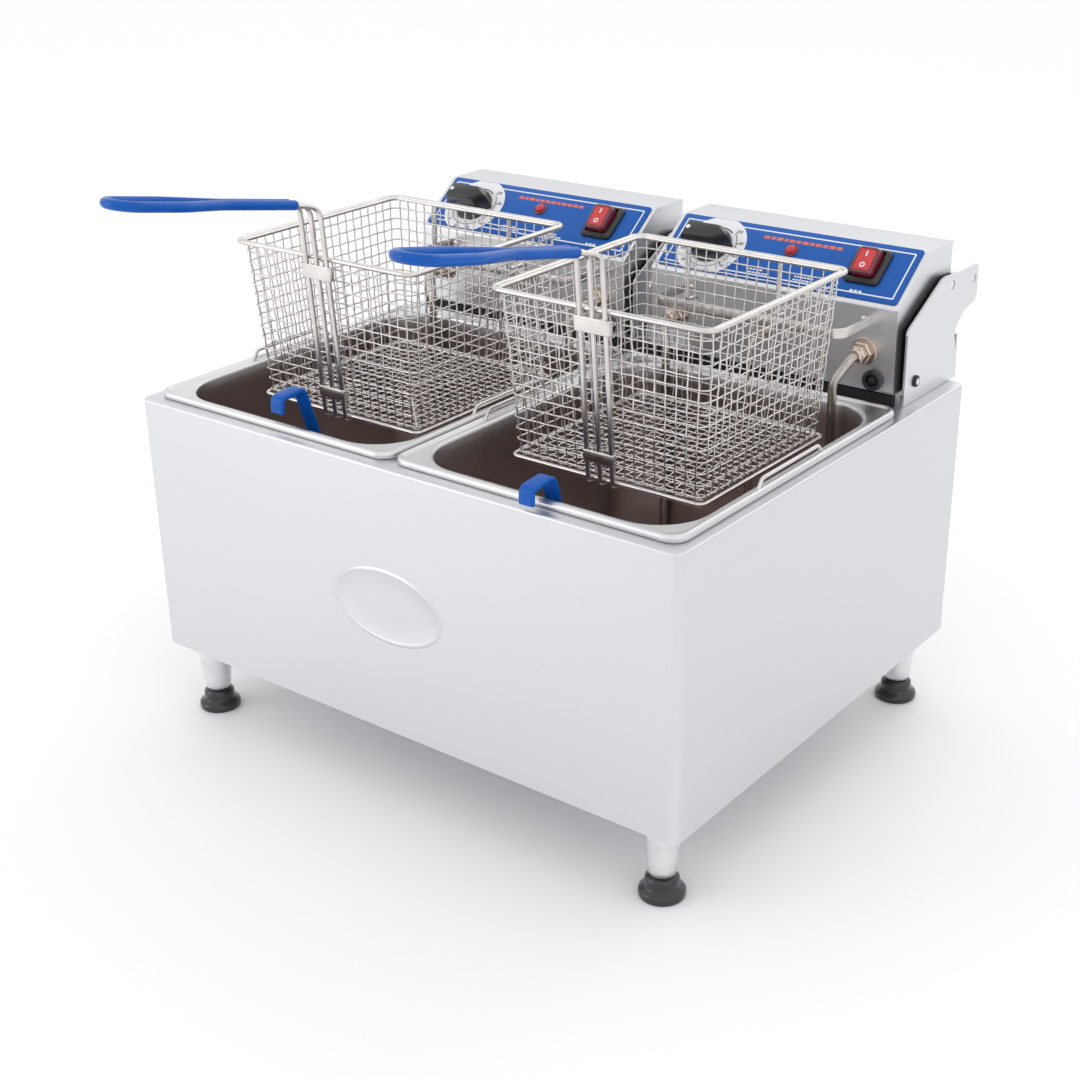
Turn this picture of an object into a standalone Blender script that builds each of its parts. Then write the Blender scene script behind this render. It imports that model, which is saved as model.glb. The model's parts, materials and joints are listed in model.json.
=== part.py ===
"""Twin-tank electric countertop deep fryer with two swing-up heads.

Run with: blender --background --python part.py

The model is in metres with +Z up. The origin is the middle of the whole
outline, on the surface that the feet stand on. +X runs to the right as seen
from the front, and +Y runs to the back.
"""

import math

import bmesh
import bpy
from mathutils import Matrix, Vector

# ---------------------------------------------------------------- dimensions

GAP = 0.0003
CABINET_Y = 0.0445

CABINET_WIDTH = 0.580
CABINET_DEPTH = 0.460
CABINET_BASE_Z = 0.072
DECK_Z = 0.3168
CABINET_SHEET = 0.0015
CABINET_EDGE_RADIUS = 0.008

BADGE_Z = 0.192
BADGE_HALF_WIDTH = 0.061
BADGE_HALF_HEIGHT = 0.034

LEG_INSET_X = 0.031
LEG_INSET_Y = 0.029
LEG_TOP_RADIUS = 0.0170
LEG_FOOT_RADIUS = 0.0118
LEG_FOOT_Z = 0.0210
FOOT_PAD_RADIUS = 0.0195
STEM_RADIUS = 0.0050
STEM_TOP_Z = 0.042

UNIT_PITCH = 0.283
TANK_WIDTH = 0.279
TANK_FRONT_Y = -0.219
TANK_BACK_Y = 0.121
TANK_RIM_WIDTH = 0.010
TANK_RIM_TOP_Z = 0.3235
TANK_FLOOR_Z = 0.120
TANK_TAPER = 0.008
TANK_SHEET = 0.0015
TANK_CORNER_RADIUS = 0.045

HEAD_WIDTH = 0.252
HEAD_FRONT_Y = 0.1315
HEAD_BACK_Y = 0.232
HEAD_BASE_Z = 0.3275
HEAD_TOP_Z = 0.4435
PANEL_FOOT_Z = 0.404
PANEL_TOP_Y = 0.184
HEAD_SHEET = 0.0015

PIVOT_Y = 0.2193
PIVOT_Z = 0.4072
STOP_ROD_Y = 0.2635
STOP_ROD_Z = 0.4032
PIVOT_ROD_RADIUS = 0.0040
STOP_ROD_RADIUS = 0.0035
PLATE_SHEET = 0.0020
PLATE_STANDOFF = 0.0055
PLATE_FLANGE = 0.0125
PLATE_SCREW_Y = 0.1585
PLATE_SCREW_Z = 0.3356

KNOB_X = -0.0775
KNOB_S = 0.0335
LAMP_X = 0.002
LAMP_S = 0.042
SWITCH_X = 0.0805
SWITCH_S = 0.038
ROCKER_PIVOT_N = 0.0040
ROCKER_REST_TILT = math.radians(7.0)

RESET_X = 0.1069
RESET_Z = 0.339
GLAND_X = -0.070
GLAND_Z = 0.352
ELEMENT_NUT_X = 0.0965
ELEMENT_NUT_Z = 0.363
ELEMENT_RADIUS = 0.0040
ELEMENT_DROP_X = 0.086
ELEMENT_DROP_Y = 0.098
ELEMENT_Z = 0.145
ELEMENT_FRONT_Y = -0.121
ELEMENT_RUNS = 6

HANGER_Y = 0.079
HANGER_Z = 0.391
HANGER_HEIGHT = 0.009
HANGER_LEFT_X = -0.0875
HANGER_RIGHT_X = 0.1005

BASKET_X = 0.0055
BASKET_RIM_Z = 0.450
BASKET_BASE_Z = 0.306
BASKET_TOP_SIZE = 0.213
BASKET_BASE_SIZE = 0.191
BASKET_TOP_CORNER = 0.008
BASKET_BASE_CORNER = 0.004
BASKET_SKIN = 0.0009
RIM_WIRE = 0.0025
FRAME_WIRE = 0.0019
HANDLE_WIRE = 0.0022
HANDLE_SPREAD = 0.012
HANDLE_RISE = 0.046
WELD = 0.0005
HOOK_X = 0.0455
GRIP_RADIUS = 0.0042
GRIP_START = (-0.028, 0.0500)
GRIP_LENGTH = 0.194
GRIP_RISE = math.radians(11.0)

GUARD_Z = 0.170
GUARD_X = 0.010
GUARD_FRONT_Y = -0.126
GUARD_BACK_Y = 0.070
GUARD_SHEET = 0.0015
STRAP_WIDTH = 0.013
STRAP_SPLIT_Z = 0.232
STRAP_SHEET = 0.0030

BASKET_Y = {"left": -0.0420, "right": -0.0325}
GUARD_SHIFT = {"left": (0.018, 0.0085), "right": (0.0, 0.0)}
SIDES = {"left": -1, "right": 1}


# ------------------------------------------------------------ mesh functions


def closed_mesh(verts, faces):
    """A mesh from points and faces, with every face pointing out."""
    bm = bmesh.new()
    points = [bm.verts.new(v) for v in verts]
    for face in faces:
        bm.faces.new([points[i] for i in face])
    bmesh.ops.remove_doubles(bm, verts=bm.verts, dist=1e-7)
    bmesh.ops.recalc_face_normals(bm, faces=bm.faces)
    mesh = bpy.data.meshes.new("solid")
    bm.to_mesh(mesh)
    bm.free()
    return mesh


def loft(rings, loop=False):
    """A closed solid through rings of equal point counts, capped unless it loops."""
    count = len(rings[0])
    verts = [point for ring in rings for point in ring]
    faces = []
    spans = len(rings) if loop else len(rings) - 1
    for i in range(spans):
        low = i * count
        high = ((i + 1) % len(rings)) * count
        for j in range(count):
            k = (j + 1) % count
            faces.append((low + j, low + k, high + k, high + j))
    if not loop:
        faces.append(tuple(range(count)))
        faces.append(tuple(range(len(verts) - count, len(verts))))
    return closed_mesh(verts, faces)


def rounded_rect(width, depth, radius, z, centre=(0.0, 0.0), steps=3):
    """A ring at height z: a rectangle whose corners are arcs."""
    ring = []
    for quarter in range(4):
        start = quarter * math.pi / 2
        sign_x = 1 if quarter in (0, 3) else -1
        sign_y = 1 if quarter in (0, 1) else -1
        corner_x = centre[0] + sign_x * (width / 2 - radius)
        corner_y = centre[1] + sign_y * (depth / 2 - radius)
        for step in range(steps + 1):
            angle = start + step * math.pi / 2 / steps
            x = corner_x + radius * math.cos(angle)
            y = corner_y + radius * math.sin(angle)
            ring.append(Vector((x, y, z)))
    return ring


def turned(profile, segments=14):
    """A solid of revolution about Z from (radius, z) points; its ends lie on the axis."""
    verts = []
    faces = []
    rows = []
    for radius, z in profile:
        if radius < 1e-6:
            rows.append([len(verts)])
            verts.append((0.0, 0.0, z))
            continue
        rows.append(list(range(len(verts), len(verts) + segments)))
        for i in range(segments):
            angle = 2 * math.pi * i / segments
            verts.append((radius * math.cos(angle), radius * math.sin(angle), z))
    for low, high in zip(rows, rows[1:]):
        for i in range(segments):
            j = (i + 1) % segments
            if len(low) == 1:
                faces.append((low[0], high[j], high[i]))
            elif len(high) == 1:
                faces.append((low[i], low[j], high[0]))
            else:
                faces.append((low[i], low[j], high[j], high[i]))
    return closed_mesh(verts, faces)


def cylinder(radius, low, high, segments=12):
    """A cylinder about Z between two heights."""
    return turned([(0, low), (radius, low), (radius, high), (0, high)], segments)


def prism(outline, low, high):
    """An outline in the XY plane extruded from one height to another."""
    return loft([[Vector((x, y, low)) for x, y in outline], [Vector((x, y, high)) for x, y in outline]])


def block(low, high):
    """A box between two corners."""
    outline = [(low[0], low[1]), (high[0], low[1]), (high[0], high[1]), (low[0], high[1])]
    return prism(outline, low[2], high[2])


def rounded_path(points, radii, steps=3, loop=False):
    """A polyline with each inner corner replaced by an arc of the given radius."""
    points = [Vector(p) for p in points]
    count = len(points)
    path = []
    for i, corner in enumerate(points):
        radius = radii[i] if isinstance(radii, (list, tuple)) else radii
        if (not loop and i in (0, count - 1)) or radius <= 0:
            path.append(corner)
            continue
        before = (points[i - 1] - corner).normalized()
        after = (points[(i + 1) % count] - corner).normalized()
        half = before.angle(after) / 2
        reach = radius / math.tan(half)
        centre = corner + (before + after).normalized() * (radius / math.sin(half))
        start = corner + before * reach - centre
        turn = math.pi - 2 * half
        axis = start.cross(corner + after * reach - centre).normalized()
        for step in range(steps + 1):
            path.append(centre + Matrix.Rotation(turn * step / steps, 3, axis) @ start)
    return path


def tube(path, radius, sides=6, loop=False, flatten=1.0):
    """A round wire swept along a path; flatten scales its cross-section along the path's own side."""
    count = len(path)
    tangents = []
    for i, point in enumerate(path):
        ahead = path[(i + 1) % count] if loop or i < count - 1 else point
        behind = path[i - 1] if loop or i > 0 else point
        tangents.append((ahead - behind).normalized())
    side = tangents[0].orthogonal().normalized()
    if abs(tangents[0].x) < 0.9:
        side = (Vector((1, 0, 0)) - tangents[0] * tangents[0].x).normalized()
    sides_along = [side]
    for previous, current in zip(tangents, tangents[1:]):
        side = previous.rotation_difference(current) @ side
        side = (side - current * side.dot(current)).normalized()
        sides_along.append(side)
    rings = []
    for point, tangent, across in zip(path, tangents, sides_along):
        up = tangent.cross(across)
        ring = []
        for i in range(sides):
            angle = 2 * math.pi * (i + 0.5) / sides
            sideways = across * (radius * flatten * math.cos(angle))
            ring.append(point + sideways + up * (radius * math.sin(angle)))
        rings.append(ring)
    return loft(rings, loop)


def ribbon(path, thickness):
    """The closed outline of a flat strip that follows a 2D path."""
    left = []
    right = []
    for i, point in enumerate(path):
        ahead = path[min(i + 1, len(path) - 1)]
        behind = path[max(i - 1, 0)]
        along = (ahead - behind).normalized()
        across = Vector((-along.y, along.x)) * (thickness / 2)
        left.append(point.xy + across)
        right.append(point.xy - across)
    return left + right[::-1]


def inset_outline(outline, distance):
    """A convex outline, counter-clockwise, moved inwards by a distance on every side."""
    points = [Vector(p) for p in outline]
    count = len(points)
    moved = []
    for i, corner in enumerate(points):
        before = (corner - points[i - 1]).normalized()
        after = (points[(i + 1) % count] - corner).normalized()
        inward_a = Vector((-before.y, before.x))
        inward_b = Vector((-after.y, after.x))
        bisector = (inward_a + inward_b).normalized()
        moved.append(corner + bisector * (distance / bisector.dot(inward_a)))
    return moved


def turned_to(mesh, axis, place=(0, 0, 0)):
    """The mesh with its own Z turned to point along an axis, then moved."""
    mesh.transform(Vector((0, 0, 1)).rotation_difference(Vector(axis)).to_matrix().to_4x4())
    mesh.transform(Matrix.Translation(place))
    return mesh


def across_x(mesh, x=0.0):
    """The mesh with its X, Y and Z turned to run along +Y, +Z and +X, for shapes drawn from the side."""
    mesh.transform(Matrix(((0, 0, 1, x), (1, 0, 0, 0), (0, 1, 0, 0), (0, 0, 0, 1))))
    return mesh


def moved(mesh, x=0.0, y=0.0, z=0.0):
    """The mesh moved by a distance along each axis."""
    mesh.transform(Matrix.Translation((x, y, z)))
    return mesh


def boolean(mesh, tools, operation):
    """The mesh joined with, or cut by, each tool in turn."""
    target = bpy.data.objects.new("target", mesh)
    helpers = [target]
    bpy.context.scene.collection.objects.link(target)
    for tool in tools:
        helper = bpy.data.objects.new("tool", tool)
        bpy.context.scene.collection.objects.link(helper)
        helpers.append(helper)
        modifier = target.modifiers.new("boolean", "BOOLEAN")
        modifier.operation = operation
        modifier.solver = "EXACT"
        modifier.object = helper
    graph = bpy.context.evaluated_depsgraph_get()
    result = bpy.data.meshes.new_from_object(target.evaluated_get(graph))
    for helper in helpers:
        bpy.data.objects.remove(helper)
    return result


def cut(mesh, tools):
    """The mesh with each tool cut out of it."""
    return boolean(mesh, tools, "DIFFERENCE")


def join(mesh, tools):
    """The mesh and each tool as one solid."""
    return boolean(mesh, tools, "UNION")


# ------------------------------------------------------- objects and finishes

MATERIALS = {
    "cabinet_steel": ((0.62, 0.62, 0.63), 0.32, 1.0),
    "tank_steel": ((0.42, 0.38, 0.36), 0.28, 1.0),
    "head_steel": ((0.60, 0.60, 0.61), 0.30, 1.0),
    "wire_chrome": ((0.70, 0.69, 0.67), 0.18, 1.0),
    "leg_metal": ((0.72, 0.72, 0.72), 0.30, 1.0),
    "element_steel": ((0.40, 0.37, 0.34), 0.30, 1.0),
    "blue_vinyl": ((0.02, 0.16, 0.55), 0.35, 0.0),
    "label_blue": ((0.03, 0.13, 0.48), 0.40, 0.0),
    "black_plastic": ((0.015, 0.015, 0.015), 0.40, 0.0),
    "black_rubber": ((0.010, 0.010, 0.010), 0.70, 0.0),
    "red_lens": ((0.55, 0.01, 0.02), 0.15, 0.0),
    "ceramic_block": ((0.75, 0.72, 0.64), 0.60, 0.0),
}


def finish(slot):
    """The material of a slot, made the first time that it is asked for."""
    material = bpy.data.materials.get(slot)
    if material is None:
        colour, roughness, metallic = MATERIALS[slot]
        material = bpy.data.materials.new(slot)
        material.use_nodes = True
        shader = material.node_tree.nodes["Principled BSDF"]
        shader.inputs["Base Color"].default_value = (*colour, 1.0)
        shader.inputs["Roughness"].default_value = roughness
        shader.inputs["Metallic"].default_value = metallic
    return material


def put(name, mesh, slot, parent, location=(0, 0, 0), rotation=(0, 0, 0)):
    """A named sub-part under its parent, with its material and smooth round faces."""
    mesh.name = name
    mesh.materials.clear()
    mesh.materials.append(finish(slot))
    mesh.shade_smooth()
    mesh.set_sharp_from_angle(angle=math.radians(35))
    obj = bpy.data.objects.new(name, mesh)
    obj.location = location
    obj.rotation_euler = rotation
    obj.parent = parent
    bpy.context.scene.collection.objects.link(obj)
    return obj


def empty(name, parent, location, rotation=(0, 0, 0)):
    """A datum that pieces are placed from."""
    obj = bpy.data.objects.new(name, None)
    obj.location = location
    obj.rotation_euler = rotation
    obj.parent = parent
    bpy.context.scene.collection.objects.link(obj)
    return obj


# -------------------------------------------------------------------- cabinet


def tank_centre(side):
    """The middle of a tank in X and Y, for side -1 or +1."""
    return side * UNIT_PITCH / 2, (TANK_FRONT_Y + TANK_BACK_Y) / 2


def cabinet_shell():
    """The wrap-around sheet body: open below, with a tank opening on each side of the deck."""
    width, depth, radius = CABINET_WIDTH, CABINET_DEPTH, CABINET_EDGE_RADIUS
    body = loft([
        rounded_rect(width, depth, radius, CABINET_BASE_Z),
        rounded_rect(width, depth, radius, DECK_Z - 0.0022),
        rounded_rect(width - 0.0014, depth - 0.0014, radius - 0.0007, DECK_Z - 0.0007),
        rounded_rect(width - 0.0044, depth - 0.0044, radius - 0.0022, DECK_Z),
    ])
    inner_width = CABINET_WIDTH - 2 * CABINET_SHEET
    inner_depth = CABINET_DEPTH - 2 * CABINET_SHEET
    inner_radius = CABINET_EDGE_RADIUS - CABINET_SHEET
    hollow = loft([
        rounded_rect(inner_width, inner_depth, inner_radius, CABINET_BASE_Z - 0.010),
        rounded_rect(inner_width, inner_depth, inner_radius, DECK_Z - CABINET_SHEET),
    ])
    opening_width = TANK_WIDTH - 2 * TANK_RIM_WIDTH + 0.008
    opening_depth = TANK_BACK_Y - TANK_FRONT_Y - 2 * TANK_RIM_WIDTH + 0.008
    openings = []
    for side in SIDES.values():
        centre = tank_centre(side)
        openings.append(loft([
            rounded_rect(opening_width, opening_depth, TANK_CORNER_RADIUS + 0.003, DECK_Z - 0.010, centre),
            rounded_rect(opening_width, opening_depth, TANK_CORNER_RADIUS + 0.003, DECK_Z + 0.010, centre),
        ]))
    return cut(join(body, [badge_relief()]), [hollow, *openings])


def badge_relief():
    """A plain raised oval, with no marking, pressed into the cabinet's front."""
    half_width, half_height, lift, slope = BADGE_HALF_WIDTH, BADGE_HALF_HEIGHT, 0.0010, 0.0020

    def oval(shrink, depth):
        ring = []
        for i in range(24):
            angle = 2 * math.pi * i / 24
            x = (half_width - shrink) * math.cos(angle)
            z = BADGE_Z + (half_height - shrink) * math.sin(angle)
            ring.append(Vector((x, -CABINET_DEPTH / 2 - depth, z)))
        return ring

    return loft([oval(0.0, -0.0005), oval(0.0, 0.0003), oval(slope, lift)])


def cabinet_floor():
    """The flat panel that closes the cabinet below."""
    clear = 2 * (CABINET_SHEET + GAP)
    radius = CABINET_EDGE_RADIUS - CABINET_SHEET
    return loft([
        rounded_rect(CABINET_WIDTH - clear, CABINET_DEPTH - clear, radius, CABINET_BASE_Z),
        rounded_rect(CABINET_WIDTH - clear, CABINET_DEPTH - clear, radius, CABINET_BASE_Z + CABINET_SHEET),
    ])


def leg():
    """A tapered turned leg with a bore below for the foot's threaded stem."""
    top = CABINET_BASE_Z - GAP
    bore = STEM_RADIUS + GAP
    return turned([
        (0, STEM_TOP_Z + 0.002),
        (bore, STEM_TOP_Z + 0.002),
        (bore, LEG_FOOT_Z),
        (LEG_FOOT_RADIUS, LEG_FOOT_Z),
        (LEG_TOP_RADIUS, top - 0.004),
        (LEG_TOP_RADIUS, top),
        (0, top),
    ])


def foot():
    """A flanged adjustable foot: a wide pad, a smaller upper tier and a stem up into the leg."""
    tier = FOOT_PAD_RADIUS - 0.0052
    return turned([
        (0, 0),
        (FOOT_PAD_RADIUS, 0),
        (FOOT_PAD_RADIUS, 0.0060),
        (tier, 0.0095),
        (tier, 0.0150),
        (tier - 0.0035, LEG_FOOT_Z - GAP),
        (STEM_RADIUS, LEG_FOOT_Z - GAP),
        (STEM_RADIUS, STEM_TOP_Z),
        (0, STEM_TOP_Z),
    ])


def rim_handle(x):
    """A low bent-wire lifting handle over a tank's side rim."""
    low = TANK_RIM_TOP_Z - 0.0025
    high = TANK_RIM_TOP_Z + 0.0060
    points = [(x, -0.104, low), (x, -0.098, high), (x, -0.012, high), (x, -0.006, low)]
    return tube(rounded_path(points, 0.004, 2), 0.0016)


def tank():
    """A pressed tank, tapered, with a rolled rim that rests on the deck and a wire handle on each side."""
    width = TANK_WIDTH
    depth = TANK_BACK_Y - TANK_FRONT_Y
    mouth_width = width - 2 * TANK_RIM_WIDTH
    mouth_depth = depth - 2 * TANK_RIM_WIDTH
    radius = TANK_CORNER_RADIUS
    sheet = TANK_SHEET
    top = TANK_RIM_TOP_Z
    taper = 2 * TANK_TAPER
    centre = (0.0, (TANK_FRONT_Y + TANK_BACK_Y) / 2)

    def ring(grow, corner, z):
        return rounded_rect(width + grow, depth + grow, corner, z, centre)

    def mouth(grow, corner, z):
        return rounded_rect(mouth_width + grow, mouth_depth + grow, corner, z, centre)

    shell = loft([
        mouth(2 * sheet - taper - 0.024, radius - 0.012, TANK_FLOOR_Z),
        mouth(2 * sheet - taper, radius, TANK_FLOOR_Z + 0.012),
        mouth(2 * sheet, radius, top - 0.0040),
        ring(-0.0040, 0.012, top - 0.0040),
        ring(-0.0030, 0.012, DECK_Z + GAP),
        ring(-0.0004, 0.013, DECK_Z + GAP),
        ring(0.0, 0.014, top - 0.0025),
        ring(-0.0020, 0.013, top - 0.0006),
        ring(-0.0050, 0.012, top),
        ring(-0.0090, 0.012, top - 0.0008),
        mouth(0.0060, radius, top - 0.0016),
        mouth(0.0, radius, top - 0.0040),
        mouth(-taper, radius, TANK_FLOOR_Z + 0.012),
        mouth(-taper - 0.024, radius - 0.012, TANK_FLOOR_Z + sheet),
    ])
    reach = width / 2 - 0.0048
    return join(shell, [rim_handle(-reach), rim_handle(reach)])


# -------------------------------------------------------------- hinge fittings


def hinge_plate(outward):
    """A standing side plate on the deck, with a foot flange, a panel screw and a latch stud.

    outward is +1 or -1 along X, away from the head that the plate carries.
    """
    base = DECK_Z + GAP
    outline = [
        (0.1388, base), (0.1380, 0.3850), (0.1976, 0.4167), (0.2050, 0.4180), (0.2355, 0.4156),
        (0.2710, 0.4160), (0.2718, 0.3850), (0.2670, 0.3810), (0.2490, 0.3780), (0.2330, 0.3650),
        (0.2320, 0.3585), (0.2400, 0.3275), (0.2400, base),
    ]
    radii = [0, 0.006, 0.004, 0.004, 0, 0.005, 0.003, 0.004, 0.006, 0.003, 0.004, 0.002, 0]
    plate = across_x(prism(rounded_outline(outline, radii), -PLATE_SHEET / 2, PLATE_SHEET / 2))
    flange_x = (-outward * PLATE_FLANGE, outward * PLATE_SHEET * 0.4)
    flange = block((min(flange_x), 0.160, base), (max(flange_x), 0.228, base + PLATE_SHEET))
    screw = turned([(0, 0), (0.0040, 0), (0.0040, 0.0018), (0.0026, 0.0028), (0, 0.0030)], 8)
    turned_to(screw, (outward, 0, 0), (outward * PLATE_SHEET * 0.3, PLATE_SCREW_Y, PLATE_SCREW_Z))
    stud = moved(cylinder(0.0016, 0.3310, 0.3580, 6), y=0.2375)
    return cut(join(plate, [flange, screw, stud]), [
        rod_hole(PIVOT_ROD_RADIUS, PIVOT_Y, PIVOT_Z),
        rod_hole(STOP_ROD_RADIUS, STOP_ROD_Y, STOP_ROD_Z),
    ])


def rod_hole(radius, y, z):
    """A cutter along X for a rod, with clearance."""
    return turned_to(cylinder(radius + GAP, -0.2, 0.2), (1, 0, 0), (0, y, z))


def cross_rod(radius, y, z):
    """A round rod through all four plates."""
    half = UNIT_PITCH / 2 + HEAD_WIDTH / 2 + PLATE_STANDOFF + PLATE_SHEET * 0.6
    return turned_to(cylinder(radius, -half, half), (1, 0, 0), (0, y, z))


def rest_strip():
    """The rubber strip that the closed heads' front edges come down on."""
    half = (UNIT_PITCH + HEAD_WIDTH) / 2
    low = (-half, HEAD_FRONT_Y + 0.0005, DECK_Z + GAP)
    high = (half, HEAD_FRONT_Y + 0.0060, HEAD_BASE_Z - GAP)
    return block(low, high)


# ---------------------------------------------------------- control head parts


def head_outline():
    """The head's side outline in Y and Z, counter-clockwise."""
    return [
        (HEAD_FRONT_Y, HEAD_BASE_Z), (HEAD_BACK_Y, HEAD_BASE_Z), (HEAD_BACK_Y, HEAD_TOP_Z),
        (PANEL_TOP_Y, HEAD_TOP_Z), (HEAD_FRONT_Y, PANEL_FOOT_Z),
    ]


def panel_place():
    """The sloped panel's frame: its foot, and its tilt about X; its Y runs up the slope."""
    tilt = math.atan2(HEAD_TOP_Z - PANEL_FOOT_Z, PANEL_TOP_Y - HEAD_FRONT_Y)
    return (0.0, HEAD_FRONT_Y, PANEL_FOOT_Z), (tilt, 0, 0)


def on_panel(mesh, x, s):
    """A mesh whose Z is the panel's normal, moved to a place on the sloped panel."""
    place, tilt = panel_place()
    mesh.transform(Matrix.Translation((x, s, 0)))
    mesh.transform(Matrix.Translation(place) @ Matrix.Rotation(tilt[0], 4, "X"))
    return mesh


def from_front(mesh, x, z):
    """A mesh whose Z points out of the head's front, moved to a place on the front face."""
    return turned_to(mesh, (0, -1, 0), (x, HEAD_FRONT_Y, z))


def head_housing():
    """A folded sheet housing, open at the back, with a hole for each fitting that passes through it."""
    half = HEAD_WIDTH / 2
    outline = head_outline()
    body = across_x(prism(rounded_outline(outline, 0.0022), -half, half))
    inner = inset_outline(outline, HEAD_SHEET)
    inner[1].x += 0.010
    inner[2].x += 0.010
    hollow = across_x(prism(inner, -half + HEAD_SHEET, half - HEAD_SHEET))
    holes = [
        on_panel(cylinder(0.0050, -0.006, 0.006, 12), KNOB_X, KNOB_S),
        on_panel(cylinder(0.0048, -0.006, 0.006, 12), LAMP_X, LAMP_S),
        on_panel(block((-0.0135, -0.0160, -0.006), (0.0135, 0.0160, 0.006)), SWITCH_X, SWITCH_S),
        from_front(cylinder(0.0063, -0.006, 0.006, 12), RESET_X, RESET_Z),
        from_front(cylinder(0.0033, -0.006, 0.006, 12), 0.0, ELEMENT_NUT_Z),
        rod_hole(PIVOT_ROD_RADIUS, PIVOT_Y, PIVOT_Z),
    ]
    for sign in (-1, 1):
        holes.append(from_front(cylinder(0.0063, -0.006, 0.006, 12), sign * ELEMENT_NUT_X, ELEMENT_NUT_Z))
    return cut(body, [hollow, *holes])


def rounded_outline(outline, radius):
    """The outline with every corner rounded a little, as folded sheet is."""
    path = rounded_path([(u, v, 0) for u, v in outline], radius, 2, loop=True)
    return [p.xy for p in path]


def back_cover():
    """The flat cover that closes the housing's back, with a hole for the cord gland."""
    half = HEAD_WIDTH / 2 - HEAD_SHEET - GAP
    inset = HEAD_SHEET + GAP
    cover = block(
        (-half, HEAD_BACK_Y - 0.0018, HEAD_BASE_Z + inset),
        (half, HEAD_BACK_Y - 0.0003, HEAD_TOP_Z - inset),
    )
    hole = turned_to(cylinder(0.0083, -0.006, 0.006, 16), (0, 1, 0), (GLAND_X, HEAD_BACK_Y, GLAND_Z))
    return cut(cover, [hole])


def cord_gland():
    """A cable gland: inner nut, neck through the cover, hexagon and domed cap with an open bore."""
    neck = HEAD_BACK_Y
    return turned_to(turned([
        (0, -0.006), (0.0110, -0.006), (0.0110, -0.0021), (0.0080, -0.0021), (0.0080, 0.0002),
        (0.0115, 0.0002), (0.0115, 0.0060), (0.0100, 0.0068), (0.0100, 0.0140), (0.0078, 0.0175),
        (0.0048, 0.0180), (0.0048, 0.0010), (0, 0.0010),
    ], 12), (0, 1, 0), (GLAND_X, neck, GLAND_Z))


def faceplate():
    """The printed overlay on the sloped panel, with clearance for the shaft, the lamp and the switch."""
    plate = loft([
        rounded_rect(0.244, 0.0615, 0.003, 0.0003, (0.0, 0.0347), 3),
        rounded_rect(0.244, 0.0615, 0.003, 0.0009, (0.0, 0.0347), 3),
    ])
    holes = [
        moved(cylinder(0.0050, -0.006, 0.006, 12), KNOB_X, KNOB_S),
        moved(cylinder(0.0048, -0.006, 0.006, 12), LAMP_X, LAMP_S),
        moved(block((-0.0135, -0.0160, -0.006), (0.0135, 0.0160, 0.006)), SWITCH_X, SWITCH_S),
    ]
    return cut(plate, holes)


def thermostat_body():
    """The thermostat's case behind the panel, with its threaded neck and shaft."""
    case = loft([
        rounded_rect(0.044, 0.040, 0.004, -0.0270, steps=2),
        rounded_rect(0.044, 0.040, 0.004, -0.0050, steps=2),
    ])
    shaft = turned([
        (0, -0.010), (0.0042, -0.010), (0.0042, 0.0012), (0.0030, 0.0012), (0.0030, 0.0140), (0, 0.0140),
    ], 12)
    return join(case, [shaft])


def thermostat_knob():
    """A bar knob with a pointed end on a round skirt, with a blind bore for the shaft."""
    skirt = turned([(0, 0.0012), (0.0195, 0.0012), (0.0195, 0.0030), (0.0180, 0.0046), (0, 0.0046)], 18)
    outline = [(-0.0235, -0.0095), (0.0145, -0.0095), (0.0235, 0.0), (0.0145, 0.0095), (-0.0235, 0.0095)]
    top = [(-0.0215, -0.0055), (0.0125, -0.0055), (0.0165, 0.0), (0.0125, 0.0055), (-0.0215, 0.0055)]
    bar = loft([
        [Vector((x, y, 0.0036)) for x, y in outline],
        [Vector((x, y, 0.0195)) for x, y in outline],
        [Vector((x, y, 0.0240)) for x, y in top],
    ])
    bore = cylinder(0.0033, -0.004, 0.0150, 12)
    return cut(join(skirt, [bar]), [bore])


def switch_body():
    """A rocker switch's black bezel and body, with the well that the rocker tilts in."""
    body = loft([
        rounded_rect(0.0262, 0.0312, 0.001, -0.0220, steps=2),
        rounded_rect(0.0262, 0.0312, 0.001, 0.0012, steps=2),
        rounded_rect(0.0330, 0.0370, 0.004, 0.0012, steps=2),
        rounded_rect(0.0330, 0.0370, 0.004, 0.0048, steps=2),
        rounded_rect(0.0310, 0.0350, 0.003, 0.0062, steps=2),
    ])
    well = block((-0.0120, -0.0152, -0.0030), (0.0120, 0.0152, 0.0100))
    return cut(body, [well])


def rocker():
    """The sealed rocker: a rounded block about the axis that it tilts on."""
    low = 0.0005 - ROCKER_PIVOT_N
    high = 0.0135 - ROCKER_PIVOT_N
    return loft([
        rounded_rect(0.0215, 0.0270, 0.002, low, steps=2),
        rounded_rect(0.0225, 0.0280, 0.003, low + 0.0015, steps=2),
        rounded_rect(0.0215, 0.0270, 0.004, high - 0.0030, steps=2),
        rounded_rect(0.0180, 0.0235, 0.004, high, steps=2),
    ])


def indicator_lamp():
    """A small domed pilot lamp with its stem through the panel."""
    return turned([
        (0, -0.012), (0.0042, -0.012), (0.0042, 0.0012), (0.0058, 0.0012), (0.0058, 0.0022),
        (0.0050, 0.0042), (0.0030, 0.0056), (0, 0.0061),
    ], 12)


def high_limit_body():
    """The overheat cut-out: a round collar outside, a neck through the front and a case inside."""
    return turned([
        (0, -0.026), (0.0092, -0.026), (0.0092, -0.0020), (0.0060, -0.0020), (0.0060, 0.0003),
        (0.0092, 0.0003), (0.0092, 0.0038), (0.0080, 0.0050), (0.0050, 0.0050), (0.0050, -0.0050),
        (0, -0.0050),
    ])


def reset_button():
    """The cut-out's reset button, which travels into its collar."""
    return turned([(0, -0.0020), (0.0044, -0.0020), (0.0044, 0.0066), (0.0036, 0.0074), (0, 0.0076)], 12)


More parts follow.
